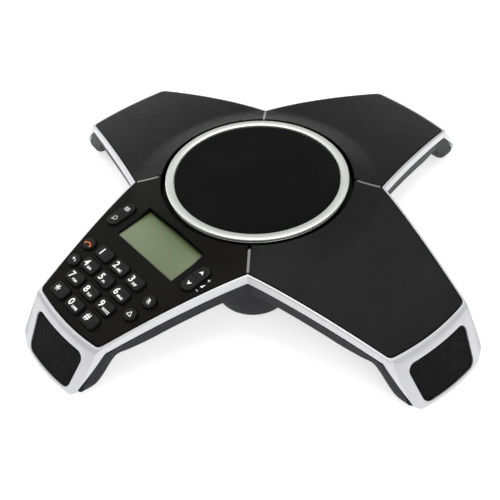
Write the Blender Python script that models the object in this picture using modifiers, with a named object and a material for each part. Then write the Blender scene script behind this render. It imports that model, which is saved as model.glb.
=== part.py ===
"""Four-armed conference speakerphone: drooping arms round a raised speaker, a keypad arm
towards the user, a microphone in each toe, and the sockets in the pod underneath.

Frame: origin on the table under the centre, +Z up, the keypad arm along -Y.
Lengths below are in millimetres and are turned into metres when a mesh is made.
"""

import math

import bmesh
import bpy
from mathutils import Matrix, Vector

MM = 0.001

# ---- driving dimensions ------------------------------------------------------------
DECK_Z = 54.0  # height of the flat middle of the deck
NOTCH = 60.1  # x and y of the inner corner between two arms
TIP_U, TIP_V = 156.8, 33.2  # outer corner of a deck panel, along and across the arm
TIP_SAG = 3.0  # bulge of the panel's end edge
TIP_FILLET = 5.0
DROOP, DROOP_POWER = 17.1, 1.545  # how far the arm sinks at TIP_U, and how late
RISE, RISE_R, RISE_POWER = 6.2, 86.0, 1.25  # the deck rises towards the speaker
PANEL = 2.5  # panel thickness
GAP = 0.35  # clearance between neighbouring pieces
STRIP_W = 1.9  # light strip width
WELL_R = 66.4  # round well that the speaker stands in
RING_R, RING_TOP = 62.9, 61.5
TOE_Z = 2.0  # underside of the toes, the rubber pads reach the table
TOE_U = 183.6  # tip of the toe
POD_Z = 4.0  # underside of the pod
ARM_DEPTH = 17.6  # deck to underside of an arm
WALL = 2.2
KEY_PITCH_X, KEY_PITCH_Y = 17.0, 11.9
KEY_ROWS = [113.6 + KEY_PITCH_Y * i for i in range(4)]
KEY_COLUMNS = [-20.6 + KEY_PITCH_X * i for i in range(3)]
KEY_W, KEY_H, KEY_UP = 14.0, 9.4, 2.0
LCD_U0, LCD_U1, LCD_HALF = 69.7, 97.8, 29.7
PILL_U, PILL_X, PILL_L, PILL_W = 86.0, 40.6, 22.0, 9.4
ROUND_R = 4.6
AXLE_DEPTH, AXLE_R = 3.5, 0.85  # hinge of a rocker, below the deck
SCREW_U, SCREW_V = 103.6, 40.0
MIC_W0, MIC_W1 = 5.6, 34.6  # window in the toe face, measured down the slope
MIC_TOP, MIC_BOTTOM = 26.6, 22.6  # its half widths

# ---- scene, collections, materials -------------------------------------------------
for old in list(bpy.data.objects):
    bpy.data.objects.remove(old, do_unlink=True)

scene = bpy.context.scene
parts = bpy.data.collections.new("conference_speakerphone")
cutters = bpy.data.collections.new("cutters")
cutters.hide_render = True
scene.collection.children.link(parts)
scene.collection.children.link(cutters)


def material(name, color, roughness, metallic=0.0):
    made = bpy.data.materials.new(name)
    made.use_nodes = True
    shader = made.node_tree.nodes["Principled BSDF"]
    shader.inputs["Base Color"].default_value = (*color, 1.0)
    shader.inputs["Roughness"].default_value = roughness
    shader.inputs["Metallic"].default_value = metallic
    made.diffuse_color = (*color, 1.0)
    return made


M = {
    "silver": material("silver_paint", (0.62, 0.62, 0.63), 0.35, 0.6),
    "deck": material("charcoal_plastic", (0.022, 0.022, 0.021), 0.45),
    "shell": material("graphite_plastic", (0.030, 0.031, 0.036), 0.5),
    "ring": material("ring_metal", (0.58, 0.59, 0.56), 0.3, 0.7),
    "cloth": material("speaker_cloth", (0.010, 0.010, 0.012), 0.9),
    "foam": material("mic_foam", (0.008, 0.008, 0.009), 1.0),
    "strip": material("light_pipe", (0.30, 0.30, 0.31), 0.4),
    "key": material("key_rubber", (0.018, 0.018, 0.018), 0.6),
    "lens": material("display_lens", (0.20, 0.24, 0.15), 0.15),
    "lcd": material("display_module", (0.10, 0.12, 0.08), 0.4),
    "board": material("circuit_board", (0.02, 0.10, 0.04), 0.5),
    "mat": material("silicone_mat", (0.25, 0.25, 0.25), 0.7),
    "steel": material("steel", (0.45, 0.45, 0.46), 0.3, 1.0),
    "magnet": material("ferrite", (0.04, 0.04, 0.045), 0.4, 0.6),
    "paper": material("cone_paper", (0.02, 0.02, 0.02), 0.9),
    "rubber": material("rubber", (0.015, 0.015, 0.015), 0.85),
    "socket": material("socket_plastic", (0.012, 0.012, 0.012), 0.4),
}


def link(name, mesh, mat, parent=None, where=parts):
    made = bpy.data.objects.new(name, mesh)
    where.objects.link(made)
    if mat and not mesh.materials:
        mesh.materials.append(M[mat])
    if parent:
        made.parent = parent
    return made


def mesh_of(name, verts, faces):
    """Closed mesh from points in millimetres, faces turned outwards."""
    grid = bmesh.new()
    points = [grid.verts.new([c * MM for c in v]) for v in verts]
    for face in faces:
        grid.faces.new([points[i] for i in face])
    bmesh.ops.remove_doubles(grid, verts=grid.verts, dist=1e-7)
    bmesh.ops.recalc_face_normals(grid, faces=grid.faces)
    if grid.calc_volume(signed=True) < 0:
        bmesh.ops.reverse_faces(grid, faces=grid.faces)
    made = bpy.data.meshes.new(name)
    grid.to_mesh(made)
    grid.free()
    return made


def boolean(obj, cutter, operation="DIFFERENCE", solver="EXACT"):
    step = obj.modifiers.new(operation.lower(), "BOOLEAN")
    step.operation = operation
    step.object = cutter
    step.solver = solver
    return step


def apply_all(obj):
    """Turns the modifiers into mesh, so the piece can be a cutter for another."""
    bpy.context.view_layer.update()
    graph = bpy.context.evaluated_depsgraph_get()
    made = bpy.data.meshes.new_from_object(obj.evaluated_get(graph))
    obj.modifiers.clear()
    obj.data = made


def cutter(name, mesh, matrix=None):
    made = link(name, mesh, None, where=cutters)
    made.hide_render = True
    made.display_type = "WIRE"
    if matrix:
        made.matrix_world = matrix
    return made


def smooth(obj, degrees=35):
    obj.data.shade_smooth()
    obj.data.set_sharp_from_angle(angle=math.radians(degrees))


def cylinder(name, r, z0, z1, at, segments=24):
    grid = bmesh.new()
    bmesh.ops.create_cone(
        grid,
        cap_ends=True,
        segments=segments,
        radius1=r * MM,
        radius2=r * MM,
        depth=(z1 - z0) * MM,
    )
    middle = Vector((at[0], at[1], (z0 + z1) / 2)) * MM
    bmesh.ops.translate(grid, verts=grid.verts, vec=middle)
    made = bpy.data.meshes.new(name)
    grid.to_mesh(made)
    grid.free()
    return made


def block(name, x0, x1, y0, y1, z0, z1):
    low, high = Vector((x0, y0, z0)) * MM, Vector((x1, y1, z1)) * MM
    grid = bmesh.new()
    bmesh.ops.create_cube(grid, size=1.0)
    for vert in grid.verts:
        vert.co = Vector([low[i] if vert.co[i] < 0 else high[i] for i in range(3)])
    made = bpy.data.meshes.new(name)
    grid.to_mesh(made)
    grid.free()
    return made


def turned(name, profile, mat, steps=48):
    """A profile of (radius, height) turned about Z."""
    made = bpy.data.meshes.new(name)
    made.from_pydata(
        [(r * MM, 0, z * MM) for r, z in profile],
        [(i, i + 1) for i in range(len(profile) - 1)]
        + ([(len(profile) - 1, 0)] if profile[0][0] > 0 else []),
        [],
    )
    obj = link(name, made, mat)
    screw = obj.modifiers.new("turn", "SCREW")
    screw.steps = screw.render_steps = steps
    screw.use_merge_vertices = True
    screw.merge_threshold = 1e-5
    screw.use_smooth_shade = True
    screw.use_normal_calculate = True
    apply_all(obj)
    grid = bmesh.new()
    grid.from_mesh(obj.data)
    bmesh.ops.remove_doubles(grid, verts=grid.verts, dist=1e-7)
    bmesh.ops.recalc_face_normals(grid, faces=grid.faces)
    if grid.calc_volume(signed=True) < 0:
        bmesh.ops.reverse_faces(grid, faces=grid.faces)
    grid.to_mesh(obj.data)
    grid.free()
    smooth(obj)
    return obj


def slice_at(grid, values, axis=0):
    """Cuts a flat bmesh along lines of constant x, or of constant y for axis 1."""
    for value in values:
        bmesh.ops.bisect_plane(
            grid,
            geom=grid.verts[:] + grid.edges[:] + grid.faces[:],
            plane_co=(value, value, 0),
            plane_no=(1 - axis, axis, 0),
            dist=1e-5,
        )


# ---- the shape of the deck ---------------------------------------------------------
def deck_z(u):
    return DECK_Z - DROOP * (max(0.0, u - NOTCH) / (TIP_U - NOTCH)) ** DROOP_POWER


def deck_rise(x, y):
    """Height that the deck gains near the speaker, where it closes in on the ring."""
    r = max(WELL_R, math.hypot(x, y))
    return RISE * (max(0.0, RISE_R - r) / (RISE_R - WELL_R)) ** RISE_POWER


def deck_tilt(u):
    """Angle by which the deck leans outwards at u."""
    return math.atan2(deck_z(u - 0.5) - deck_z(u + 0.5), 1.0)


SIDE = Vector((TIP_U - NOTCH, TIP_V - NOTCH)).normalized()
SIDE_N = Vector((-SIDE.y, SIDE.x))
END_R = (TIP_V**2 + TIP_SAG**2) / (2 * TIP_SAG)
END_ANGLE = math.asin(TIP_V / END_R)
SIDE_ANGLE = math.atan2(SIDE_N.y, SIDE_N.x)
MITRE = SIDE_N.dot(Vector((1, 1)).normalized())
SIDE_SLOPE = (NOTCH - TIP_V) / (TIP_U - NOTCH)


def half_width(u):
    return NOTCH + (u - NOTCH) * (TIP_V - NOTCH) / (TIP_U - NOTCH) if u > NOTCH else NOTCH


def end_u(v, offset=0.0):
    """Where the panel's end edge, moved out by offset, crosses v."""
    r = END_R + offset
    return TIP_U - (END_R - TIP_SAG) + math.sqrt(r * r - v * v)


def tip_corner(side_offset, end_offset):
    """Corner of the side edge and the end edge, each moved outwards."""
    a = 0.0
    base = Vector((TIP_U, TIP_V)) + SIDE_N * side_offset
    for _ in range(40):
        p = base + SIDE * a
        a += (end_u(p.y, end_offset) - p.x) / SIDE.x * 0.9
    return base + SIDE * a


def rail(side_offset, end_offset, fillet, side_steps, end_steps, arcs=4):
    """Points of half an arm's edge, from the notch to the middle of the tip."""
    corner = tip_corner(side_offset, end_offset)
    turn = SIDE_ANGLE - END_ANGLE
    middle = (SIDE_ANGLE + END_ANGLE) / 2
    centre = corner - Vector((math.cos(middle), math.sin(middle))) * (
        fillet / math.cos(turn / 2)
    )
    notch = Vector((NOTCH, NOTCH)) + Vector((1, 1)).normalized() * (side_offset / MITRE)
    first = centre + Vector((math.cos(SIDE_ANGLE), math.sin(SIDE_ANGLE))) * fillet
    points = [notch.lerp(first, i / side_steps) for i in range(side_steps)]
    for i in range(arcs + 1):
        angle = SIDE_ANGLE - turn * i / arcs
        points.append(centre + Vector((math.cos(angle), math.sin(angle))) * fillet)
    last = points[-1].y
    for i in range(1, end_steps + 1):
        v = last * (1 - i / end_steps)
        points.append(Vector((end_u(v, end_offset), v)))
    return points


SIDE_STEPS, END_STEPS, ARCS = 7, 3, 4


def frame_rings():
    """Cross sections of the silver frame along half an arm."""
    edge = rail(0.0, 0.0, TIP_FILLET, SIDE_STEPS, END_STEPS, ARCS)
    crease = rail(2.0, 3.4, 2.4, SIDE_STEPS, END_STEPS, ARCS)
    wall = rail(0.3, 0.9, 4.5, SIDE_STEPS, END_STEPS, ARCS)
    ledge = rail(-1.8, -1.8, 4.4, SIDE_STEPS, END_STEPS, ARCS)
    outer = rail(2.9, 4.2, 3.0, SIDE_STEPS, END_STEPS, ARCS)
    inner = rail(0.6, 1.0, 3.0, SIDE_STEPS, END_STEPS, ARCS)
    # The toe cap: lower edge of the side return, then the toe's rounded bottom.
    low_out = [
        (156.6, 36.9, 31.2),
        (166.2, 35.7, 21.6),
        (175.8, 34.3, 12.0),
        (178.9, 32.2, 5.2),
        (181.0, 28.2, 2.0),
    ]
    low_in = [
        (156.6, 34.4, 31.2),
        (166.1, 33.6, 21.7),
        (175.3, 33.0, 12.3),
        (176.8, 31.0, 5.4),
        (177.2, 27.0, 2.0),
    ]
    rings = []
    for i in range(len(edge)):
        if i < SIDE_STEPS:
            z = deck_z(edge[i].x)
            foot_out = (*outer[i], z - 6.2)
            foot_in = (*inner[i], z - 6.2)
        elif i < SIDE_STEPS + ARCS + 1:
            foot_out, foot_in = low_out[i - SIDE_STEPS], low_in[i - SIDE_STEPS]
        else:
            v_out = 28.2 * (1 - (i - SIDE_STEPS - ARCS) / END_STEPS)
            v_in = 27.0 * (1 - (i - SIDE_STEPS - ARCS) / END_STEPS)
            foot_out = (TOE_U - 2.6 * (v_out / 28.2) ** 2, v_out, TOE_Z)
            foot_in = (TOE_U - 4.4 - 2.0 * (v_in / 27.0) ** 2, v_in, TOE_Z)
        ring = [
            (*edge[i], deck_z(edge[i].x) - 0.25),
            (*crease[i], deck_z(crease[i].x) - 0.5),
            foot_out,
            foot_in,
            (*wall[i], deck_z(wall[i].x) - 4.6),
            (*ledge[i], deck_z(ledge[i].x) - 4.6),
            (*ledge[i], deck_z(ledge[i].x) - 2.9),
            (*edge[i], deck_z(edge[i].x) - 2.9),
        ]
        rings.append([Vector(p) for p in ring])
    return rings


def star_loft(name, rings):
    """Sweeps half an arm's sections round all four arms into one closed band."""
    loop = []
    last = len(rings) - 1
    for k in range(4):
        spin = Matrix.Rotation(k * math.pi / 2, 3, "Z")
        order = [(i, -1) for i in range(last)] + [(i, 1) for i in range(last, 0, -1)]
        for i, side in order:
            loop.append([spin @ Vector((p.x, p.y * side, p.z)) for p in rings[i]])
    size = len(loop[0])
    verts = [p for ring in loop for p in ring]
    faces = []
    for a in range(len(loop)):
        b = (a + 1) % len(loop)
        for j in range(size):
            n = (j + 1) % size
            faces.append((a * size + j, b * size + j, b * size + n, a * size + n))
    return mesh_of(name, verts, faces)


# ---- toe face: a leaning, slightly bulging wall --------------------------------------
FACE_TOP = Vector((end_u(0, 3.4), 0, deck_z(end_u(0, 3.4)) - 0.5))
FACE_DOWN = (Vector((TOE_U, 0, TOE_Z)) - FACE_TOP).normalized()
FACE_OUT = Vector((-FACE_DOWN.z, 0, FACE_DOWN.x))
FACE_BULGE = 320.0


def on_face(v, w, depth):
    """Point of the toe face at v across, w down the slope and depth behind it."""
    p = FACE_TOP + FACE_DOWN * w - FACE_OUT * depth
    return Vector((p.x - v * v / FACE_BULGE, v, p.z))


def window_outline(grow, corner=5.5, arcs=4):
    """Rounded trapezoid of the microphone window, as (v, w)."""
    top, bottom = MIC_TOP + grow, MIC_BOTTOM + grow
    w0, w1 = MIC_W0 - grow, MIC_W1 + grow
    corners = [(top, w0), (-top, w0), (-bottom, w1), (bottom, w1)]
    points = []
    for i, c in enumerate(corners):
        c = Vector(c)
        a = (Vector(corners[i - 1]) - c).normalized()
        b = (Vector(corners[(i + 1) % 4]) - c).normalized()
        half = math.acos(a.dot(b)) / 2
        middle = c + (a + b).normalized() * (corner / math.sin(half))
        start = c + a * (corner / math.tan(half)) - middle
        end = c + b * (corner / math.tan(half)) - middle
        for j in range(arcs + 1):
            t = j / arcs
            points.append(middle + (start * (1 - t) + end * t).normalized() * corner)
    return points


def window_solid(name, grow, front, back, corner=5.5):
    """The window's shape as a block that follows the bulge of the toe face."""
    grid = bmesh.new()
    face = grid.faces.new([grid.verts.new((p.x, p.y, 0)) for p in window_outline(grow, corner)])
    slice_at(grid, (-18, -9, 0, 9, 18))
    swept = bmesh.ops.extrude_face_region(grid, geom=grid.faces[:])
    for item in swept["geom"]:
        if isinstance(item, bmesh.types.BMVert):
            item.co.z = 1
    for vert in grid.verts:
        vert.co = on_face(vert.co.x, vert.co.y, back if vert.co.z > 0.5 else front) * MM
    bmesh.ops.recalc_face_normals(grid, faces=grid.faces)
    if grid.calc_volume(signed=True) < 0:
        bmesh.ops.reverse_faces(grid, faces=grid.faces)
    made = bpy.data.meshes.new(name)
    grid.to_mesh(made)
    grid.free()
    return made


# ---- slabs that follow the droop ------------------------------------------------------
def deck_slab(name, outline, top, bottom, lines=(), across=(), bevel=None):
    """Slab of an outline (u, v), from top to bottom below the deck, bent with the arm."""
    grid = bmesh.new()
    grid.faces.new([grid.verts.new((p[0], p[1], 0)) for p in outline])
    slice_at(grid, lines)
    slice_at(grid, across, 1)
    swept = bmesh.ops.extrude_face_region(grid, geom=grid.faces[:])
    for item in swept["geom"]:
        if isinstance(item, bmesh.types.BMVert):
            item.co.z = -1
    for vert in grid.verts:
        depth = bottom if vert.co.z < -0.5 else top
        rise = deck_rise(vert.co.x, vert.co.y) if across else 0.0
        vert.co.z = deck_z(vert.co.x) - depth + rise
        vert.co *= MM
    bmesh.ops.recalc_face_normals(grid, faces=grid.faces)
    if grid.calc_volume(signed=True) < 0:
        bmesh.ops.reverse_faces(grid, faces=grid.faces)
    if bevel:
        chosen = [e for e in grid.edges if bevel(*[v.co / MM for v in e.verts])]
        bmesh.ops.bevel(
            grid, geom=chosen, offset=1.9 * MM, segments=2, affect="EDGES", profile=0.5
        )
    made = bpy.data.meshes.new(name)
    grid.to_mesh(made)
    grid.free()
    return made


def panel_outline():
    """Edge of a deck panel in its arm: well, seam, side, tip and back."""
    back = rail(-GAP, -GAP, TIP_FILLET, SIDE_STEPS, END_STEPS, ARCS)
    seam = STRIP_W / 2 + 0.15
    d = Vector((1, 1)).normalized()
    start = math.pi / 4 - math.asin(seam / WELL_R)
    turns = [start * (1 - i / 8) for i in range(9)]
    arc = [Vector((math.cos(a), math.sin(a))) * WELL_R for a in turns]
    # The seam runs beside the strip out to the side edge.
    p = Vector((d.y, -d.x)) * seam
    t = 0.0
    for _ in range(60):
        q = p + d * t
        if q.x > NOTCH:
            t += (half_width(q.x) - GAP / SIDE_N.y - q.y) / (d.y * (1 + SIDE_SLOPE))
        else:
            t += NOTCH + 0.5 - q.y
    corner = p + d * t
    half = [corner] + [q for q in back[1:] if q.x > corner.x + 1.0]
    upper = arc[::-1] + half  # from the arm's axis along the well, out the seam, to the tip
    lower = [Vector((q.x, -q.y)) for q in upper[1:-1]][::-1]
    return upper + lower


LINES = (56, 62, 66, 70, 75, 80, 86, 94, 106, 118, 130, 142, 151)
ACROSS = (-48, -40, -32, -24, -12, 0, 12, 24, 32, 40, 48)


def well_edge(a, b):
    """True on the top edge round the well."""
    return (
        abs(Vector((a.x, a.y)).length - WELL_R) < 0.1
        and abs(Vector((b.x, b.y)).length - WELL_R) < 0.1
        and min(a.z, b.z) > DECK_Z + RISE - 1.6
        and (a - b).length > 0.5
        and abs(a.z - b.z) < 1.0
    )


arms = []
for k in range(4):
    arm = bpy.data.objects.new(f"arm_{k}", None)
    parts.objects.link(arm)
    arm.rotation_euler.z = k * math.pi / 2
    arms.append(arm)
ARM_NAMES = ["right", "rear", "left", "front"]

# ---- silver frame -------------------------------------------------------------------
frame = link("upper_frame", star_loft("upper_frame", frame_rings()), "silver")
for k in range(4):
    block_out = window_solid("cut_window", 0.0, -2.0, 9.0)
    spin = Matrix.Rotation(k * math.pi / 2, 4, "Z")
    boolean(frame, cutter(f"cut_window_{ARM_NAMES[k]}", block_out, spin))
apply_all(frame)
smooth(frame)

# ---- panels -------------------------------------------------------------------------
panel_mesh = deck_slab("deck_panel", panel_outline(), 0.0, PANEL, LINES, ACROSS, well_edge)


def boss(obj, world):
    """Screw boss under a panel."""
    at = (SCREW_U, SCREW_V)
    post = cylinder("boss", 3.4, 34.2, deck_z(SCREW_U) - 2.0, at, 20)
    bore = cylinder("bore", 1.7, 23.2, 45.2, at, 16)
    post = cutter("boss_" + obj.name, post, world)
    bore = cutter("bore_" + obj.name, bore, world)
    boolean(obj, post, "UNION", "MANIFOLD")
    boolean(obj, bore, solver="MANIFOLD")


panels = {}
for k, name in enumerate(["panel_right", "panel_rear", "panel_left", "keypad_panel"]):
    mesh = panel_mesh.copy()
    mesh.name = name
    spin = Matrix.Rotation(k * math.pi / 2, 4, "Z")
    mesh.transform(spin)
    panels[name] = link(name, mesh, "deck")
    boss(panels[name], spin)

# ---- light strips ---------------------------------------------------------------------
strip_profile = [
    (67.0, 50.0),
    (67.0, 51.6),
    (67.6, 53.0),
    (69.0, 53.85),
    (74.0, 53.85),
    (79.0, 53.85),
    (84.3, 53.85),
    (84.3, 51.7),
    (79.0, 51.7),
    (74.0, 51.7),
    (69.6, 51.7),
    (69.0, 51.2),
    (69.0, 50.0),
]
strip_profile = [(r, z + deck_rise(max(r, 69.0), 0)) for r, z in strip_profile]
for k in range(4):
    verts = [(r, s * STRIP_W / 2, z) for s in (-1, 1) for r, z in strip_profile]
    n = len(strip_profile)
    faces = [tuple(range(n)), tuple(range(n, 2 * n))]
    faces += [(i, (i + 1) % n, n + (i + 1) % n, n + i) for i in range(n)]
    strip = link(f"light_strip_{k + 1}", mesh_of("light_strip", verts, faces), "strip", arms[k])
    strip.rotation_euler.z = math.pi / 4

# ---- bottom shell ------------------------------------------------------------------------
TOE_ARCH = [
    (139.0, 25.6),
    (147.0, 22.6),
    (152.0, 17.6),
    (156.5, 11.0),
    (161.0, 4.6),
    (166.0, TOE_Z),
    (200.0, TOE_Z),
]


def low_z(u):
    """Underside of an arm: parallel to the deck, then sweeping down to the toe."""
    if u <= 139.0:
        return deck_z(u) - ARM_DEPTH
    for (a, za), (b, zb) in zip(TOE_ARCH, TOE_ARCH[1:]):
        if u <= b:
            return za + (zb - za) * (u - a) / (b - a)
    return TOE_Z


def corner_r(u):
    return 2.6 + 7.4 * min(1.0, max(0.0, (u - 128.0) / 34.0))


def tray_width(u):
    """Half width of the tray, which keeps its width through the toe."""
    return max(half_width(u), 33.6 - max(0.0, u - 156.0) * 0.02)


def shell_sections(inset):
    """Half sections of the tray: (u, v, z) from the top middle round to the bottom middle."""
    stations = [(u, u) for u in (NOTCH, 72, 86, 100, 114, 127)] + [
        (138, 139), (143, 147), (146, 152.5), (149, 159), (152.5, 166), (156.9, 179.4),
    ]
    sections = []
    for n, (top_u, low_u) in enumerate(stations):
        if inset and n == len(stations) - 1:
            top_u, low_u = 168.0, 188.0
        elif inset and n:
            top_u, low_u = top_u + 1.7, low_u + 1.7
        side_u = top_u + 0.8 * (low_u - top_u)
        knee_u = top_u + 0.93 * (low_u - top_u)
        r = corner_r(low_u)
        v_side = min(tray_width(side_u) + 0.9, 35.0 if low_u > 160 else 99)
        top = deck_z(min(top_u, 157.0)) - 6.6 + (14.0 if inset else 0.0)
        low = low_z(low_u) + inset
        v_top = tray_width(top_u) + 2.5 - inset
        v_side -= inset
        section = [
            (top_u, 0.0, top),
            (top_u, v_top, top),
            (side_u, v_side, low + r),
            (knee_u, v_side - 0.29 * r, low + 0.29 * r),
            (low_u, v_side - r, low),
            (low_u, 0.0, low),
        ]
        if n == len(stations) - 1 and not inset:
            section[2] = (172.2, v_side, low + r)
            section[3] = (173.2, v_side - 0.29 * r, low + 0.29 * r)
            section[4] = (175.2, v_side - r, low)
            section[5] = (178.2, 0.0, low)
        sections.append(section)
    return sections


def tray(name, inset):
    sections = shell_sections(inset)
    # The notch section is drawn along the diagonal.
    for i, (_, v, z) in enumerate(sections[0]):
        if v:
            d = NOTCH + (v - NOTCH) / SIDE_N.y / (1 + SIDE_SLOPE)
            sections[0][i] = (d, d, z)
    verts, faces = [], []

    def add(p, k, side):
        spin = Matrix.Rotation(k * math.pi / 2, 3, "Z")
        verts.append(spin @ Vector((p[0], p[1] * side, p[2])))
        return len(verts) - 1

    for k in range(4):
        for side in (1, -1):
            rows = [[add(p, k, side) for p in section] for section in sections]
            for a, b in zip(rows, rows[1:]):
                for i in range(5):
                    faces.append((a[i], b[i], b[i + 1], a[i + 1]))
            faces.append(tuple(rows[-1]))
    top, low = sections[0][0][2], sections[0][5][2]
    for z, corner in ((top, sections[0][1]), (low, sections[0][4])):
        square = []
        for k in range(4):
            square.append(add((NOTCH, 0, z), k, 1))
            square.append(add((corner[0], corner[1], z), k, 1))
        faces.append(tuple(square))
    return mesh_of(name, verts, faces)


def pod(name, inset):
    """Rounded square bowl under the middle."""
    levels = [
        (42.0, 66.6, 22.0),
        (26.0, 66.0, 23.0),
        (11.0, 64.4, 25.0),
        (6.0, 62.0, 25.0),
        (POD_Z, 57.0, 23.0),
    ]
    if inset:
        levels = [(z + inset, a - inset, r - inset) for z, a, r in levels]
        levels[0] = (58.0, *levels[0][1:])
    arcs = 4
    rings = []
    for z, a, r in levels:
        ring = []
        for k in range(4):
            for i in range(arcs + 1):
                angle = k * math.pi / 2 + math.pi / 2 * i / arcs
                cx = (a - r) * (1 if k in (0, 3) else -1)
                cy = (a - r) * (1 if k in (0, 1) else -1)
                ring.append((cx + r * math.cos(angle), cy + r * math.sin(angle), z))
        rings.append(ring)
    n = len(rings[0])
    verts = [p for ring in rings for p in ring]
    faces = [tuple(range(n)), tuple(range(n * (len(rings) - 1), n * len(rings)))]
    for a in range(len(rings) - 1):
        for i in range(n):
            j = (i + 1) % n
            faces.append((a * n + i, a * n + j, (a + 1) * n + j, (a + 1) * n + i))
    return mesh_of(name, verts, faces)


shell = link("bottom_shell", tray("bottom_shell", 0.0), "shell")
boolean(shell, cutter("pod_outside", pod("pod_outside", 0.0)), "UNION", "MANIFOLD")
boolean(shell, cutter("tray_inside", tray("tray_inside", WALL)), solver="MANIFOLD")
boolean(shell, cutter("pod_inside", pod("pod_inside", WALL)), solver="MANIFOLD")


def drop_crumbs(obj):
    """Keeps only the largest connected body of a cut mesh."""
    grid = bmesh.new()
    grid.from_mesh(obj.data)
    left, bodies = set(grid.verts), []
    while left:
        body, edge = [], [left.pop()]
        while edge:
            vert = edge.pop()
            body.append(vert)
            near = {e.other_vert(vert) for e in vert.link_edges} & left
            left -= near
            edge.extend(near)
        bodies.append(body)
    bodies.sort(key=len)
    bmesh.ops.delete(grid, geom=[v for body in bodies[:-1] for v in body], context="VERTS")
    grid.to_mesh(obj.data)
    grid.free()


floor_z = deck_z(SCREW_U) - ARM_DEPTH
PAD_U0, PAD_U1, PAD_V = 167.0, 175.0, 17.0
for k in range(4):
    spin = Matrix.Rotation(k * math.pi / 2, 4, "Z")
    at = (SCREW_U, SCREW_V)
    hole = cylinder("screw_hole", 1.75, 20.0, 36.0, at, 16)
    sink = cylinder("screw_sink", 3.3, 20.0, floor_z + 0.9, at, 20)
    side = PAD_V + GAP
    bed = block("pad_seat", PAD_U0 - GAP, PAD_U1 + GAP, -side, side, -5, 2.9)
    stud = cylinder("post", 3.8, 5.0, 50.1, (44.0, 44.0), 16)
    boolean(shell, cutter(f"post_{k}", stud, spin), "UNION", "MANIFOLD")
    for name, mesh in (("screw_hole", hole), ("screw_sink", sink), ("pad_seat", bed)):
        boolean(shell, cutter(f"{name}_{k}", mesh, spin), solver="MANIFOLD")

JACKS = {"line_jack": (-24.0, 13.0, 12.0), "usb_port": (0.0, 12.4, 11.4), "dc_jack": (23.0, 9.4, 11.0)}
JACK_Z0, JACK_Y0, JACK_Y1 = 10.0, 51.0, 65.2
for name, (x, w, h) in JACKS.items():
    side = w / 2 + GAP
    port = block("port", x - side, x + side, 55.0, 72.0, JACK_Z0 - GAP, JACK_Z0 + h + GAP)
    boolean(shell, cutter("port_" + name, port), solver="MANIFOLD")
apply_all(shell)
drop_crumbs(shell)
smooth(shell)

# ---- rubber pads, screws, microphones, grilles ------------------------------------------
SCREW_PROFILE = [
    (0, 12.6),
    (1.35, 12.6),
    (1.35, 0.0),
    (2.9, 0.0),
    (2.9, -1.6),
    (2.3, -2.2),
    (0, -2.2),
]
for k in range(4):
    pad = block("rubber_foot", PAD_U0, PAD_U1, -PAD_V, PAD_V, 0.0, 2.6)
    pad = link(f"rubber_foot_{ARM_NAMES[k]}", pad, "rubber", arms[k])
    edge = pad.modifiers.new("soft", "BEVEL")
    edge.width, edge.segments, edge.limit_method = 0.7 * MM, 2, "ANGLE"

    screw = turned(f"case_screw_{k + 1}", SCREW_PROFILE, "steel", 14)
    screw.parent = arms[k]
    screw.location = Vector((SCREW_U, SCREW_V, floor_z + 0.55)) * MM

    grille = window_solid("mic_grille", -GAP, 0.7, 2.9, 5.2)
    grille = link(f"mic_grille_{ARM_NAMES[k]}", grille, "foam", arms[k])
    smooth(grille)
    capsule = cylinder("mic_capsule", 4.85, -2.3, 2.3, (0, 0), 20)
    mic = link(f"mic_capsule_{ARM_NAMES[k]}", capsule, "steel", arms[k])
    mic.location = on_face(0, 18.0, 6.0) * MM
    mic.rotation_euler = FACE_OUT.to_track_quat("Z", "Y").to_euler()
    smooth(mic)

# ---- speaker --------------------------------------------------------------------------
SPEAKER = {
    "speaker_ring": ("ring", 48, [
        (57.2, RING_TOP), (62.5, RING_TOP), (RING_R, 61.1), (RING_R, 59.9),
        (61.0, 59.0), (61.0, 52.25), (54.5, 52.25), (54.5, 58.9), (57.2, 58.9),
    ]),
    "speaker_grille": ("cloth", 48, [
        (0, 60.9), (56.2, 60.9), (56.8, 60.4), (56.8, 59.2), (0, 59.2),
    ]),
    "speaker_gasket": ("rubber", 32, [
        (50.8, 53.4), (54.1, 53.4), (54.1, 52.2), (50.8, 52.2),
    ]),
    "speaker_basket": ("steel", 32, [
        (50.2, 51.9), (65.9, 51.9), (65.9, 50.4), (51.4, 50.4), (50.8, 48.4),
        (33.0, 28.6), (12.0, 28.6), (12.0, 30.2), (32.2, 30.2), (49.4, 49.2),
    ]),
    "speaker_cone": ("paper", 32, [
        (0, 40.2), (9.0, 39.2), (14.0, 36.8), (45.0, 50.6), (47.0, 51.4), (49.0, 50.8),
        (49.0, 50.0), (47.0, 50.6), (45.4, 49.8), (14.2, 35.6), (8.6, 38.4), (0, 39.4),
    ]),
    "speaker_magnet": ("magnet", 28, [
        (0, 28.2), (31.0, 28.2), (32.0, 27.2), (32.0, 14.6), (31.0, 13.6), (0, 13.6),
    ]),
}
for name, (mat, steps, profile) in SPEAKER.items():
    turned(name, profile, mat, steps)

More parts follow.
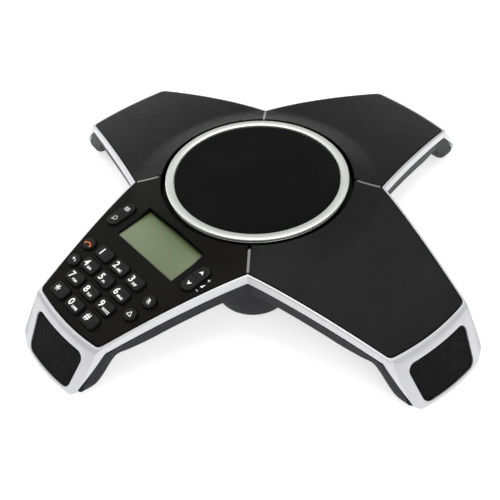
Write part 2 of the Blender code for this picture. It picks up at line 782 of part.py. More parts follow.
# ---- electronics -----------------------------------------------------------------------
link("main_board", block("main_board", -36, 36, -40, 58.0, 8.0, 9.6), "board")
jack_cuts = {
    "line_jack": [(-28.8, -19.2, 53.5, 70, 13.2, 19.8), (-26.0, -22.0, 53.5, 70, 19.0, 20.9)],
    "usb_port": [(-4.3, 4.3, 56.0, 70, 11.6, 19.8)],
}
for name, (x, w, h) in JACKS.items():
    body = block(name, x - w / 2, x + w / 2, JACK_Y0, JACK_Y1, JACK_Z0, JACK_Z0 + h)
    body = link(name, body, "socket")
    for n, cut in enumerate(jack_cuts.get(name, [])):
        boolean(body, cutter(f"bore_{name}_{n}", block("bore", *cut)))
    if name == "usb_port":
        tongue = block("tongue", -2.8, 2.8, 55.0, 64.4, 14.2, 17.2)
        boolean(body, cutter("usb_tongue", tongue), "UNION")
    if name == "dc_jack":
        lying = Matrix.Rotation(math.pi / 2, 4, "X")
        mouth = Matrix.Translation(Vector((x, JACK_Y1, JACK_Z0 + h / 2)) * MM) @ lying
        barrel = cylinder("bore", 3.1, -1.0, 10.0, (0, 0), 24)
        pin = cylinder("pin", 0.95, 1.5, 11.5, (0, 0), 16)
        boolean(body, cutter("bore_dc", barrel, mouth))
        boolean(body, cutter("pin_dc", pin, mouth), "UNION")

# ---- keypad arm: everything below lies in arm 3, where u = -y and v = x -----------------
keypad = panels["keypad_panel"]


def seat(x, u):
    """Frame of a key: origin on the deck, Z along the deck's normal."""
    at = Vector((x, -u, deck_z(u))) * MM
    return Matrix.Translation(at) @ Matrix.Rotation(deck_tilt(u), 4, "X")


def rounded(w, h, r, arcs=3):
    points = []
    for k, (sx, sy) in enumerate(((1, 1), (-1, 1), (-1, -1), (1, -1))):
        for i in range(arcs + 1):
            a = k * math.pi / 2 + math.pi / 2 * i / arcs
            x = sx * (w / 2 - r) + r * math.cos(a)
            points.append((x, sy * (h / 2 - r) + r * math.sin(a)))
    return points


def stack(name, layers):
    """Loft through outlines with the same number of points: [(outline, z), ...] upwards."""
    n = len(layers[0][0])
    verts = [(x, y, z) for outline, z in layers for x, y in outline]
    faces = [tuple(range(n)), tuple(range(n * (len(layers) - 1), n * len(layers)))]
    for a in range(len(layers) - 1):
        for i in range(n):
            j = (i + 1) % n
            faces.append((a * n + i, a * n + j, (a + 1) * n + j, (a + 1) * n + i))
    return mesh_of(name, verts, faces)


def key_mesh(name, w, h, r, up=KEY_UP, arcs=2, rim=0.5):
    """Key cap with a softened top and a flange that keeps it under the panel."""
    flange = rounded(w + 2 * rim, h + 2 * rim, r + rim, arcs)
    stem = rounded(w, h, r, arcs)
    top = rounded(w - 1.2, h - 1.2, r - 0.6, arcs)
    layers = [(flange, -3.9), (flange, -3.1), (stem, -3.1), (stem, up - 0.5), (top, up)]
    return stack(name, layers)


def rocker_mesh():
    """Rocker cap narrowed at its foot, on a round axle that lies under the panel."""
    cap = key_mesh("rocker", PILL_W, PILL_L, PILL_W / 2 - 0.01, 1.8, 3, rim=-0.5)
    holder = link("rocker_cap", cap, "key", where=cutters)
    reach = PILL_W / 2 + 1.0
    lying = Matrix.Rotation(math.pi / 2, 4, "Y")
    place = Matrix.Translation(Vector((0, 0, -AXLE_DEPTH)) * MM) @ lying
    axle = cylinder("axle", AXLE_R, -reach, reach, (0, 0), 20)
    boolean(holder, cutter("rocker_axle", axle, place), "UNION")
    apply_all(holder)
    made = holder.data
    bpy.data.objects.remove(holder)
    return made


def opening(name, w, h, r, matrix, arcs=3):
    outline = rounded(w + 2 * GAP, h + 2 * GAP, r + GAP, arcs)
    through = stack(name, [(outline, -9.0), (outline, 9.0)])
    boolean(keypad, cutter(name, through, matrix), solver="MANIFOLD")


digit_mesh = key_mesh("digit_key", KEY_W, KEY_H, 2.6)
round_mesh = key_mesh("round_key", 2 * ROUND_R, 2 * ROUND_R, ROUND_R - 0.01, arcs=3, rim=0.3)
pill_mesh = rocker_mesh()

KEYS = {}
KEY_NAMES = (("1", "2", "3"), ("4", "5", "6"), ("7", "8", "9"), ("star", "0", "hash"))
ROUND_KEYS = (
    ("key_hook", -36.0, 115.6),
    ("key_flash", -33.2, 129.8),
    ("key_mute", 32.6, 116.6),
    ("key_conference", 30.6, 130.0),
)
for u, names in zip(KEY_ROWS, KEY_NAMES):
    for x, label in zip(KEY_COLUMNS, names):
        KEYS["key_" + label] = (x, u, digit_mesh, KEY_W, KEY_H, 2.6, 2)
for label, x, u in ROUND_KEYS:
    KEYS[label] = (x, u, round_mesh, 2 * ROUND_R, 2 * ROUND_R, ROUND_R - 0.01, 3)
for label, x in (("rocker_menu", -PILL_X), ("rocker_volume", PILL_X)):
    KEYS[label] = (x, PILL_U, pill_mesh, PILL_W, PILL_L, PILL_W / 2 - 0.01, 3)
for label, (x, u, mesh, w, h, r, arcs) in KEYS.items():
    place = seat(x, u)
    key = link(label, mesh, "key")
    key.matrix_world = place
    opening("hole_" + label, w, h, r, place, arcs)
for mesh in (digit_mesh, round_mesh, pill_mesh):
    mesh.shade_smooth()
    mesh.set_sharp_from_angle(angle=math.radians(40))

# Display: a flat lens in a sunk opening, the module behind it.
lcd_u = (LCD_U0 + LCD_U1) / 2
lcd_tilt = math.atan2(deck_z(LCD_U0) - deck_z(LCD_U1), LCD_U1 - LCD_U0)
lcd_z = (deck_z(LCD_U0) + deck_z(LCD_U1)) / 2
lcd_at = Matrix.Translation(Vector((0, -lcd_u, lcd_z)) * MM) @ Matrix.Rotation(lcd_tilt, 4, "X")
LCD_W, LCD_H = 2 * LCD_HALF, LCD_U1 - LCD_U0
opening("hole_display", LCD_W - 2 * GAP, LCD_H - 2 * GAP, 0.9, lcd_at, 2)
edge = rounded(LCD_W - 2 * GAP, LCD_H - 2 * GAP, 0.8, 2)
lens = link("lcd_window", stack("lcd_window", [(edge, -2.2), (edge, -1.0)]), "lens")
lens.matrix_world = lcd_at
edge = rounded(62.6, 30.0, 0.5, 1)
module = link("lcd_module", stack("lcd_module", [(edge, -6.4), (edge, -3.3)]), "lcd")
module.matrix_world = lcd_at
apply_all(keypad)
smooth(keypad, 30)
for name in ("panel_right", "panel_rear", "panel_left"):
    apply_all(panels[name])
    smooth(panels[name], 30)


def mat_outline(grow):
    """U round the display, necked beside the screw bosses, tapering down the arm."""
    right = [
        (101.0, 33.4 - grow),
        (72.0, 33.4 - grow),
        (72.0, 46.5 + grow),
        (97.0, 46.0 + grow),
        (99.2, 35.0 + grow),
        (108.4, 35.0 + grow),
        (110.2, 41.6 + grow),
        (122.0, 39.8 + grow),
        (154.0, 29.2 + grow),
    ]
    left = [(u, -v) for u, v in reversed(right)]
    return right + left


MAT_LINES = (80, 90, 100, 110, 120, 130, 140, 148)
membrane = deck_slab("keypad_membrane", mat_outline(0.0), 5.3, 6.3, MAT_LINES)
link("keypad_membrane", membrane, "mat", arms[3])
board_mesh = deck_slab("keypad_board", mat_outline(-0.6), 0.0, 1.6)
chord0, chord1 = deck_z(72.0) - 7.1, deck_z(154.0) - 7.1
tilt = (chord1 - chord0) / (154.0 - 72.0)
for vert in board_mesh.vertices:
    u = vert.co.x / MM
    vert.co.z += (chord0 + tilt * (u - 72.0) - deck_z(u)) * MM
link("keypad_board", board_mesh, "board", arms[3])

bpy.context.view_layer.update()
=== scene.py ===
"""Conference speakerphone: detailed pieces and finishes laid over the fixed model of the part.

Lengths in the code are millimetres where a name or a table says so, and metres in the scene.
"""

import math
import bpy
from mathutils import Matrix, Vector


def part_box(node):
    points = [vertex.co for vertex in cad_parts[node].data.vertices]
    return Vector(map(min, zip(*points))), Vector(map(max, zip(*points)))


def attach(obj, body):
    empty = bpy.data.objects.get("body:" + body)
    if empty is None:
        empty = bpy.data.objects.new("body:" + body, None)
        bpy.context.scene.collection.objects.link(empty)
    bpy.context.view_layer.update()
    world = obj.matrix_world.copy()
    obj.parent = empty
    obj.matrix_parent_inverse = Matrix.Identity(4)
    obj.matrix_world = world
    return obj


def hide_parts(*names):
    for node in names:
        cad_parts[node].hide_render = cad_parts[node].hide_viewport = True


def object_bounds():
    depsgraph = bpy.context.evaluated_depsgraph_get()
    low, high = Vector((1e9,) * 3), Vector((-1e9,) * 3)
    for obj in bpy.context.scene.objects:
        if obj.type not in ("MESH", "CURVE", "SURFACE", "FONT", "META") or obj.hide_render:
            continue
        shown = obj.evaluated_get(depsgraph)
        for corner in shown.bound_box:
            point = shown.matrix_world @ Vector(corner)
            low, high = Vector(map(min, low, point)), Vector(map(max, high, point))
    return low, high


bl_info = {
    "name": "Conference Speakerphone",
    "version": (1, 0, 0),
    "blender": (4, 5, 0),
    "location": "3D View > Sidebar > Speakerphone",
    "description": "Builds the finished pieces of a four-armed conference speakerphone",
    "category": "Add Mesh",
}

import bmesh
import bpy
from bpy.props import FloatProperty, FloatVectorProperty, IntProperty, PointerProperty
from mathutils import Matrix, Vector, noise

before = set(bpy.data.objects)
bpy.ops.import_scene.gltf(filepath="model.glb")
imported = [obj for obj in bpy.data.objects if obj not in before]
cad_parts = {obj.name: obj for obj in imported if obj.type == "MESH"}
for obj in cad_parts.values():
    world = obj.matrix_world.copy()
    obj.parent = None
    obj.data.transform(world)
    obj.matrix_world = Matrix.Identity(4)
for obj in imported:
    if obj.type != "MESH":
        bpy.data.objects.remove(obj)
CAD_LOW, CAD_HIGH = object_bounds()

MM = 0.001
ARMS = ("right", "rear", "left", "front")
BASE = "base"
QUARTER = math.pi / 2


def box_mm(node):
    low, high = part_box(node)
    return low / MM, high / MM


# Sizes of the deck, read from the model where it holds them.
DECK_Z = 54.0
RISE, RISE_R, RISE_POWER = 6.2, 86.0, 1.25
WELL_R = 66.4
RING_HIGH = box_mm("speaker_ring")[1]
RING_R, RING_TOP = RING_HIGH.x, RING_HIGH.z
GRILLE_HIGH = box_mm("speaker_grille")[1]
TOE_U = CAD_HIGH.x / MM
TOE_Z = box_mm("bottom_shell")[0].z
NOTCH = 60.1
TIP_U, TIP_V, TIP_SAG, TIP_FILLET = 156.8, 33.2, 3.0, 5.0
DROOP, DROOP_POWER = 17.1, 1.545
PANEL, GAP, STRIP_W, POD_Z, WALL = 2.5, 0.35, 1.9, 4.0, 2.2
ARM_DEPTH = 17.6
KEY_W, KEY_H, ROUND_R = 14.0, 9.4, 4.6
KEY_COLUMNS = (-20.6, -3.6, 13.4)
KEY_ROWS = (113.6, 125.5, 137.4, 149.3)
PILL_U, PILL_X, PILL_L, PILL_W = 86.0, 40.6, 22.0, 9.4
LCD_U0, LCD_U1, LCD_HALF = 69.7, 97.8, 29.7
SCREW_U, SCREW_V = 103.6, 40.0
MIC_W0, MIC_W1, MIC_TOP, MIC_BOTTOM, MIC_CORNER = 5.6, 34.6, 26.6, 22.6, 5.5
FACE_BULGE = 320.0  # divides a squared half width: how far a toe's face curves back
SIDES, ENDS, ARCS = 26, 14, 12  # points along an arm's side, its tip and the corner between
# Key caps and rockers, measured from the deck along its normal.
FLANGE_LOW, FLANGE_TOP = -3.9, -3.1
KEY_UP, KEY_INK, ROCKER_UP = 2.0, 1.98, 1.8
AXLE_DEPTH, AXLE_R, AXLE_REACH = 3.5, 0.85, 5.7
HOLE_REACH = 9.0
# Posts and ports of the lower shell, light strips, toes and screws.
POST_R, POST_AT, POST_LOW, POST_TOP = 3.8, (44.0, 44.0), 5.0, 50.1
JACK_Z0, USB_LOW, USB_HIGH = 10.0, 11.6, 19.8
STRIP_R0, STRIP_R1, STRIP_TOP, STRIP_LOW = 69.0, 84.3, 53.85, 51.7
BAND = 6.2  # height of the silver band along an arm's side
WELL_CLEAR, TOP_BAND = 2.2, 0.4  # which edges of a panel count as its outer top edge
SOLE_OUT, SOLE_IN = 26.0, 25.0  # half widths of the toe's sole, outside and inside
FOOT_U = 171.0
THREAD_R, CORE_R, THREAD_STEP = 1.35, 1.08, 0.8
FLOOR_HALF, FLOOR_Z = 3.0, -0.0002  # metres
CAMERA_AT, CAMERA_TURN = (0.3636, -0.2975, 0.4561), (51.628, 44.733, -3.111)  # metres, degrees
LENS, SENSOR = 64.34, 36.0
LAMPS = (  # name, place, size and power
    ("overhead", (-0.15, 0.35, 1.5), 1.3, 13.0),
    ("left", (-1.3, -0.15, 0.95), 0.9, 6.0),
    ("right", (1.5, -0.45, 0.85), 0.9, 7.0),
)


# ---- settings that a user would change ----
def colour(name, text, value):
    return FloatVectorProperty(
        name=name, description=text, default=value, subtype="COLOR", size=3, min=0, max=1
    )


def length(name, text, value_mm, low=0.0, high=50.0):
    return FloatProperty(
        name=name,
        description=text,
        default=value_mm * MM,
        min=low * MM,
        max=high * MM,
        unit="LENGTH",
        subtype="DISTANCE",
    )


class SpeakerphoneFinish(bpy.types.PropertyGroup):
    silver: colour("Silver paint", "Colour of the frame round the deck", (0.52, 0.52, 0.53))
    deck: colour("Deck", "Colour of the four deck panels", (0.0050, 0.0052, 0.0050))
    shell: colour("Shell", "Colour of the lower shell", (0.0065, 0.007, 0.0085))
    ring: colour("Ring", "Colour of the ring round the speaker", (0.57, 0.59, 0.55))
    cloth: colour("Speaker cloth", "Colour of the cloth over the speaker", (0.0022, 0.0022, 0.0027))
    foam: colour("Microphone foam", "Colour of the foam in the toes", (0.0016, 0.0016, 0.0018))
    strip: colour("Light guide", "Colour of the unlit light strips", (0.14, 0.14, 0.14))
    keypad: colour("Keypad deck", "Colour of the panel round the keys", (0.0036, 0.0033, 0.0028))
    keys: colour("Keys", "Colour of the key caps", (0.0036, 0.0036, 0.0036))
    print_white: colour("Print", "Colour of the print on keys and deck", (0.86, 0.86, 0.84))
    hook: colour("Hook mark", "Colour of the handset mark", (0.95, 0.24, 0.04))
    display: colour("Display", "Colour of the blank display", (0.096, 0.132, 0.050))


class SpeakerphoneSizes(bpy.types.PropertyGroup):
    panel_edge: length("Panel edge", "Rounding of the panels' outer edge", 0.8, 0.1, 1.0)
    frame_roll: length("Frame roll", "Rounding between the rim and the face", 2.2, 0.2, 4.0)
    cap_edge: length("Key edge", "Rounding of the key caps", 0.75, 0.1, 1.2)
    thread: length("Thread pitch", "Distance between threads of the speaker cloth", 0.55, 0.1, 2)
    digit: length("Digit height", "Height of the digits on the keys", 4.8, 1, 8)
    letter: length("Letter height", "Height of the small letters on the keys", 1.6, 1, 4)
    turns: IntProperty(
        name="Turned steps", description="Steps round a turned piece", default=192, min=24, max=512
    )


# ---- shape of the deck, in millimetres ----
def deck_z(u):
    return DECK_Z - DROOP * (max(0.0, u - NOTCH) / (TIP_U - NOTCH)) ** DROOP_POWER


def deck_rise(x, y):
    """Height that the deck gains near the speaker, where it closes in on the ring."""
    r = max(WELL_R, math.hypot(x, y))
    return RISE * (max(0.0, RISE_R - r) / (RISE_R - WELL_R)) ** RISE_POWER


def deck_tilt(u):
    return math.atan2(deck_z(u - 0.5) - deck_z(u + 0.5), 1.0)


SIDE = Vector((TIP_U - NOTCH, TIP_V - NOTCH)).normalized()
SIDE_N = Vector((-SIDE.y, SIDE.x))
SIDE_SLOPE = (NOTCH - TIP_V) / (TIP_U - NOTCH)
END_R = (TIP_V**2 + TIP_SAG**2) / (2 * TIP_SAG)
END_ANGLE = math.asin(TIP_V / END_R)
SIDE_ANGLE = math.atan2(SIDE_N.y, SIDE_N.x)
DIAGONAL = Vector((1, 1)).normalized()


def unit(angle):
    return Vector((math.cos(angle), math.sin(angle)))


def half_width(u):
    return NOTCH - (u - NOTCH) * SIDE_SLOPE if u > NOTCH else NOTCH


def end_u(v, offset=0.0):
    r = END_R + offset
    return TIP_U - (END_R - TIP_SAG) + math.sqrt(r * r - v * v)


def rail(side_offset, end_offset, fillet):
    """Half an arm's edge, moved outwards, from the notch to the middle of the tip."""
    base = Vector((TIP_U, TIP_V)) + SIDE_N * side_offset
    a = 0.0
    for _ in range(40):
        p = base + SIDE * a
        a += (end_u(p.y, end_offset) - p.x) / SIDE.x * 0.9
    corner = base + SIDE * a
    turn, middle = SIDE_ANGLE - END_ANGLE, (SIDE_ANGLE + END_ANGLE) / 2
    centre = corner - unit(middle) * (fillet / math.cos(turn / 2))
    notch = Vector((NOTCH, NOTCH)) + DIAGONAL * (side_offset / SIDE_N.dot(DIAGONAL))
    first = centre + unit(SIDE_ANGLE) * fillet
    points = [notch.lerp(first, i / SIDES) for i in range(SIDES)]
    for i in range(ARCS + 1):
        points.append(centre + unit(SIDE_ANGLE - turn * i / ARCS) * fillet)
    last = points[-1].y
    for i in range(1, ENDS + 1):
        v = last * (1 - i / ENDS)
        points.append(Vector((end_u(v, end_offset), v)))
    return points


FACE_TOP = Vector((end_u(0, 3.4), 0, deck_z(end_u(0, 3.4)) - 0.5))
FACE_DOWN = (Vector((TOE_U, 0, TOE_Z)) - FACE_TOP).normalized()
FACE_OUT = Vector((-FACE_DOWN.z, 0, FACE_DOWN.x))


def on_face(v, w, depth):
    """Point of the toe face at v across, w down the slope and depth behind it."""
    p = FACE_TOP + FACE_DOWN * w - FACE_OUT * depth
    return Vector((p.x - v * v / FACE_BULGE, v, p.z))


def through(points, t):
    """Smooth curve through points, t from 0 to 1."""
    n = len(points) - 1
    i = min(int(t * n), n - 1)
    f = t * n - i
    p = [Vector(points[max(0, min(n, i + d))]) for d in (-1, 0, 1, 2)]
    a = p[1] * 2 + (p[2] - p[0]) * f
    a += (p[0] * 2 - p[1] * 5 + p[2] * 4 - p[3]) * f**2
    return (a + (p[1] * 3 - p[0] - p[2] * 3 + p[3]) * f**3) * 0.5


def bend(a, p, b, steps):
    """Curve from a to b that is drawn towards p."""
    parts = [i / steps for i in range(steps + 1)]
    return [a * (1 - t) ** 2 + p * 2 * t * (1 - t) + b * t * t for t in parts]


def soften(ring, radii):
    """Rounds the corners of a closed ring, the same number of points at each."""
    made = []
    n = len(ring)
    for j, p in enumerate(ring):
        if not radii[j]:
            made.append(p)
            continue
        before, after = ring[j - 1] - p, ring[(j + 1) % n] - p
        a = p + before.normalized() * min(radii[j], before.length * 0.45)
        b = p + after.normalized() * min(radii[j], after.length * 0.45)
        made += bend(a, p, b, 5)
    return made


# ---- mesh helpers ----
def mesh_of(name, verts, faces):
    """Closed mesh from points, faces turned outwards."""
    grid = bmesh.new()
    points = [grid.verts.new(Vector(v) * MM) for v in verts]
    for face in faces:
        grid.faces.new([points[i] for i in face])
    return closed(grid, name)


def closed(grid, name):
    """Mesh of a grid, welded and turned outwards; frees the grid."""
    bmesh.ops.remove_doubles(grid, verts=grid.verts, dist=1e-7)
    bmesh.ops.recalc_face_normals(grid, faces=grid.faces)
    if grid.calc_volume(signed=True) < 0:
        bmesh.ops.reverse_faces(grid, faces=grid.faces)
    made = bpy.data.meshes.new(name)
    grid.to_mesh(made)
    grid.free()
    return made


def smooth(mesh, degrees=35):
    mesh.shade_smooth()
    mesh.set_sharp_from_angle(angle=math.radians(degrees))
    return mesh


def move(x, y, z):
    """Shift by millimetres."""
    return Matrix.Translation(Vector((x, y, z)) * MM)


def spin(k):
    return Matrix.Rotation(k * QUARTER, 4, "Z")


def cut(mesh, matrix=None):
    return "DIFFERENCE", mesh, matrix


def boolean(mesh, cutters):
    """Mesh with (operation, mesh, matrix) cutters applied in order."""
    holder = bpy.data.objects.new("holder", mesh)
    bpy.context.scene.collection.objects.link(holder)
    helpers = []
    for operation, tool, matrix in cutters:
        helper = bpy.data.objects.new("helper", tool)
        bpy.context.scene.collection.objects.link(helper)
        helper.matrix_world = matrix or Matrix.Identity(4)
        step = holder.modifiers.new("cut", "BOOLEAN")
        step.operation, step.object, step.solver = operation, helper, "MANIFOLD"
        helpers.append(helper)
    bpy.context.view_layer.update()
    graph = bpy.context.evaluated_depsgraph_get()
    made = bpy.data.meshes.new_from_object(holder.evaluated_get(graph))
    for item in [holder, *helpers]:
        bpy.data.objects.remove(item)
    if not made.polygons:
        raise RuntimeError(f"{mesh.name}: nothing is left after cutting")
    made.name = mesh.name
    made.materials.clear()
    return made


def bevel_edges(mesh, chosen, width_mm, segments=3):
    """Rounds the sharp edges that chosen(middle in mm, angle) picks."""
    grid = bmesh.new()
    grid.from_mesh(mesh)
    edges = []
    for edge in grid.edges:
        if len(edge.link_faces) == 2:
            middle = (edge.verts[0].co + edge.verts[1].co) / 2 / MM
            if chosen(middle, math.degrees(edge.calc_face_angle(0.0))):
                edges.append(edge)
    bmesh.ops.bevel(
        grid, geom=edges, offset=width_mm * MM, segments=segments, affect="EDGES", profile=0.5,
        clamp_overlap=True,
    )
    grid.to_mesh(mesh)
    grid.free()
    return mesh


def slice_at(grid, values, axis=0):
    """Cuts a flat grid along lines of constant x, or of constant y for axis 1."""
    normal = Vector((1 - axis, axis, 0))
    for value in values:
        geom, at = grid.verts[:] + grid.edges[:] + grid.faces[:], normal * value
        bmesh.ops.bisect_plane(grid, geom=geom, plane_co=at, plane_no=normal, dist=1e-5)


def doubled(grid):
    """Extrudes all faces of a flat grid and returns the new points."""
    swept = bmesh.ops.extrude_face_region(grid, geom=grid.faces[:])
    return {item for item in swept["geom"] if isinstance(item, bmesh.types.BMVert)}


def circle(r, steps, at=(0, 0)):
    turns = [4 * QUARTER * i / steps for i in range(steps)]
    return [(at[0] + r * math.cos(a), at[1] + r * math.sin(a)) for a in turns]


def turned(name, profile, steps):
    """Solid of revolution from (radius, height) in mm; radius 0 closes on the axis."""
    verts, faces = [], []
    index = []
    for r, z in profile:
        if r <= 0:
            index.append([len(verts)] * steps)
            verts.append((0, 0, z))
        else:
            index.append(list(range(len(verts), len(verts) + steps)))
            verts += [(x, y, z) for x, y in circle(r, steps)]
    pairs = list(zip(index, index[1:]))
    if profile[0][0] > 0:
        pairs.append((index[-1], index[0]))
    for a, b in pairs:
        for i in range(steps):
            j = (i + 1) % steps
            face = list(dict.fromkeys((a[i], a[j], b[j], b[i])))
            if len(face) > 2:
                faces.append(face)
    return smooth(mesh_of(name, verts, faces))


def rounded(w, h, r, arcs=8):
    """Outline of a rectangle with rounded corners."""
    points = []
    for k, (sx, sy) in enumerate(((1, 1), (-1, 1), (-1, -1), (1, -1))):
        for i in range(arcs + 1):
            a = k * QUARTER + QUARTER * i / arcs
            x = sx * (w / 2 - r) + r * math.cos(a)
            points.append((x, sy * (h / 2 - r) + r * math.sin(a)))
    return points


def stack(name, layers):
    """Loft through outlines with the same number of points: [(outline, z), ...] upwards."""
    n = len(layers[0][0])
    verts = [(x, y, z) for outline, z in layers for x, y in outline]
    faces = [tuple(range(n)), tuple(range(n * (len(layers) - 1), n * len(layers)))]
    for a in range(len(layers) - 1):
        for i in range(n):
            j = (i + 1) % n
            faces.append((a * n + i, a * n + j, (a + 1) * n + j, (a + 1) * n + i))
    return mesh_of(name, verts, faces)


def block(name, low, high):
    outline = [(low[0], low[1]), (high[0], low[1]), (high[0], high[1]), (low[0], high[1])]
    return stack(name, [(outline, low[2]), (outline, high[2])])


def rod(name, r, z0, z1, steps=32, at=(0, 0)):
    ring = circle(r, steps, at)
    return stack(name, [(ring, z0), (ring, z1)])


def joined(name, meshes):
    """One mesh of several (mesh, matrix) pairs."""
    grid = bmesh.new()
    for mesh, matrix in meshes:
        own = mesh.copy()
        if matrix:
            own.transform(matrix)
        grid.from_mesh(own)
    made = bpy.data.meshes.new(name)
    grid.to_mesh(made)
    grid.free()
    return made


def piece(name, mesh, finish, body=BASE, nodes=(), matrix=None):
    """Adds a piece that rides on a body and stands for the nodes that it replaces."""
    made = bpy.data.objects.new(name, mesh)
    bpy.context.scene.collection.objects.link(made)
    if matrix:
        made.matrix_world = matrix
    mesh.materials.clear()
    mesh.materials.append(finish)
    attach(made, body)
    if nodes:
        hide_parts(*nodes)
    return made


def repaint(nodes, finish):
    """Gives carried-over nodes a finish."""
    for name in nodes:
        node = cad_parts[name]
        node.data.materials.clear()
        node.data.materials.append(finish)
        smooth(node.data)


# ---- shader groups ----
def feed(tree, node, values):
    """Links or sets a node's inputs: {input: socket or value}."""
    for key, value in (values or {}).items():
        if isinstance(value, bpy.types.NodeSocket):
            tree.links.new(value, node.inputs[key])
        elif value is not None:
            node.inputs[key].default_value = value
    return node


def add(tree, kind, links=None, **settings):
    """A new node with its settings and inputs."""
    made = tree.nodes.new(kind)
    for key, value in settings.items():
        setattr(made, key, value)
    return feed(tree, made, links)


def sums(tree, operation, a, b=None, c=None, clamp=False):
    links = {0: a, 1: b, 2: c}
    return add(tree, "ShaderNodeMath", links, operation=operation, use_clamp=clamp).outputs[0]


def ramp(tree, value, low, high, to_low=0.0, to_high=1.0):
    links = {"Value": value, 1: low, 2: high, 3: to_low, 4: to_high}
    return add(tree, "ShaderNodeMapRange", links, interpolation_type="SMOOTHSTEP").outputs[0]


def noise_at(tree, where, scale, detail=3.0, rough=0.5):
    links = {"Vector": where, "Scale": scale, "Detail": detail, "Roughness": rough}
    return add(tree, "ShaderNodeTexNoise", links).outputs["Fac"]


def mixed(tree, factor, a, b, blend="MIX"):
    links = {0: factor, 6: a, 7: b}
    return add(tree, "ShaderNodeMix", links, data_type="RGBA", blend_type=blend).outputs[2]


def group(name, inputs, outputs):
    """Empty shader group with named sockets: tree, inputs, end node and place on the object."""
    kinds = {"F": "NodeSocketFloat", "C": "NodeSocketColor", "V": "NodeSocketVector"}
    tree = bpy.data.node_groups.new(name, "ShaderNodeTree")
    for label, kind, value in inputs:
        socket = tree.interface.new_socket(label, in_out="INPUT", socket_type=kinds[kind])
        socket.default_value = value
    for label, kind in outputs:
        tree.interface.new_socket(label, in_out="OUTPUT", socket_type=kinds[kind])
    given, leave = tree.nodes.new("NodeGroupInput").outputs, tree.nodes.new("NodeGroupOutput")
    return tree, given, leave, add(tree, "ShaderNodeTexCoord").outputs["Object"]


def give(tree, leave, **sockets):
    """Ends a group: its outputs by name."""
    feed(tree, leave, sockets)
    return tree


def grain_group():
    """Moulded or painted grain: fine bumps, slow shade drift and handling marks."""
    inputs = [
        ("Colour", "C", (0.5, 0.5, 0.5, 1)),
        ("Roughness", "F", 0.5),
        ("Grain scale", "F", 2500.0),
        ("Drift", "F", 0.08),
        ("Marks", "F", 0.10),
    ]
    outputs = [("Colour", "C"), ("Roughness", "F"), ("Height", "F")]
    tree, given, leave, place = group("moulded_grain", inputs, outputs)
    fine = noise_at(tree, place, given["Grain scale"], 4.0, 0.6)
    slow = noise_at(tree, place, 38.0, 2.0)
    hand = noise_at(tree, place, 190.0, 5.0, 0.65)
    shade = sums(tree, "MULTIPLY_ADD", slow, 2.0, -1.0)
    shade = sums(tree, "MULTIPLY", shade, given["Drift"])
    speck = sums(tree, "MULTIPLY_ADD", fine, 0.30, 0.85)
    shade = sums(tree, "ADD", shade, speck)
    grey = add(tree, "ShaderNodeCombineColor", {0: shade, 1: shade, 2: shade}).outputs[0]
    tint = mixed(tree, 1.0, given["Colour"], grey, "MULTIPLY")
    smear = ramp(tree, hand, 0.45, 0.75)
    rough = sums(tree, "MULTIPLY_ADD", smear, given["Marks"], given["Roughness"])
    rough = sums(tree, "MULTIPLY_ADD", fine, 0.08, rough, clamp=True)
    return give(tree, leave, Colour=tint, Roughness=rough, Height=fine)


def dust_group():
    """Fine dust that settles on faces that look up, in slow drifts and small specks."""
    inputs = [("Colour", "C", (0.1, 0.1, 0.1, 1)), ("Amount", "F", 0.05)]
    tree, given, leave, place = group("settled_dust", inputs, [("Colour", "C"), ("Mask", "F")])
    normal = add(tree, "ShaderNodeNewGeometry").outputs["Normal"]
    up = ramp(tree, add(tree, "ShaderNodeSeparateXYZ", {0: normal}).outputs[2], 0.3, 0.95)
    drift = ramp(tree, noise_at(tree, place, 26.0, 5.0, 0.6), 0.38, 0.72)
    links = {"Vector": place, "Scale": 900.0}
    cell = add(tree, "ShaderNodeTexVoronoi", links).outputs["Distance"]
    speck = ramp(tree, cell, 0.05, 0.16, 1.0, 0.0)
    mask = sums(tree, "MULTIPLY_ADD", speck, 0.8, drift)
    mask = sums(tree, "MULTIPLY", mask, up)
    mask = sums(tree, "MULTIPLY", mask, given["Amount"], clamp=True)
    tint = mixed(tree, mask, given["Colour"], (0.45, 0.44, 0.42, 1))
    return give(tree, leave, Colour=tint, Mask=mask)


def scuff_group():
    """Scuffs low on a piece, where hands and tables rub it."""
    inputs = [
        ("Colour", "C", (0.5, 0.5, 0.5, 1)),
        ("Rubbed", "C", (0.2, 0.2, 0.2, 1)),
        ("Height", "F", 0.008),
        ("Amount", "F", 0.4),
    ]
    tree, given, leave, place = group("low_scuffs", inputs, [("Colour", "C"), ("Mask", "F")])
    z = add(tree, "ShaderNodeSeparateXYZ", {0: place}).outputs[2]
    low = ramp(tree, sums(tree, "DIVIDE", z, given["Height"]), 0.2, 1.0, 1.0, 0.0)
    stretch = add(
        tree, "ShaderNodeVectorMath", {0: place, 1: (1, 1, 5)}, operation="MULTIPLY"
    ).outputs[0]
    rub = ramp(tree, noise_at(tree, stretch, 420.0, 6.0, 0.7), 0.50, 0.68)
    mask = sums(tree, "MULTIPLY", sums(tree, "MULTIPLY", low, rub), given["Amount"])
    tint = mixed(tree, mask, given["Colour"], given["Rubbed"])
    return give(tree, leave, Colour=tint, Mask=mask)


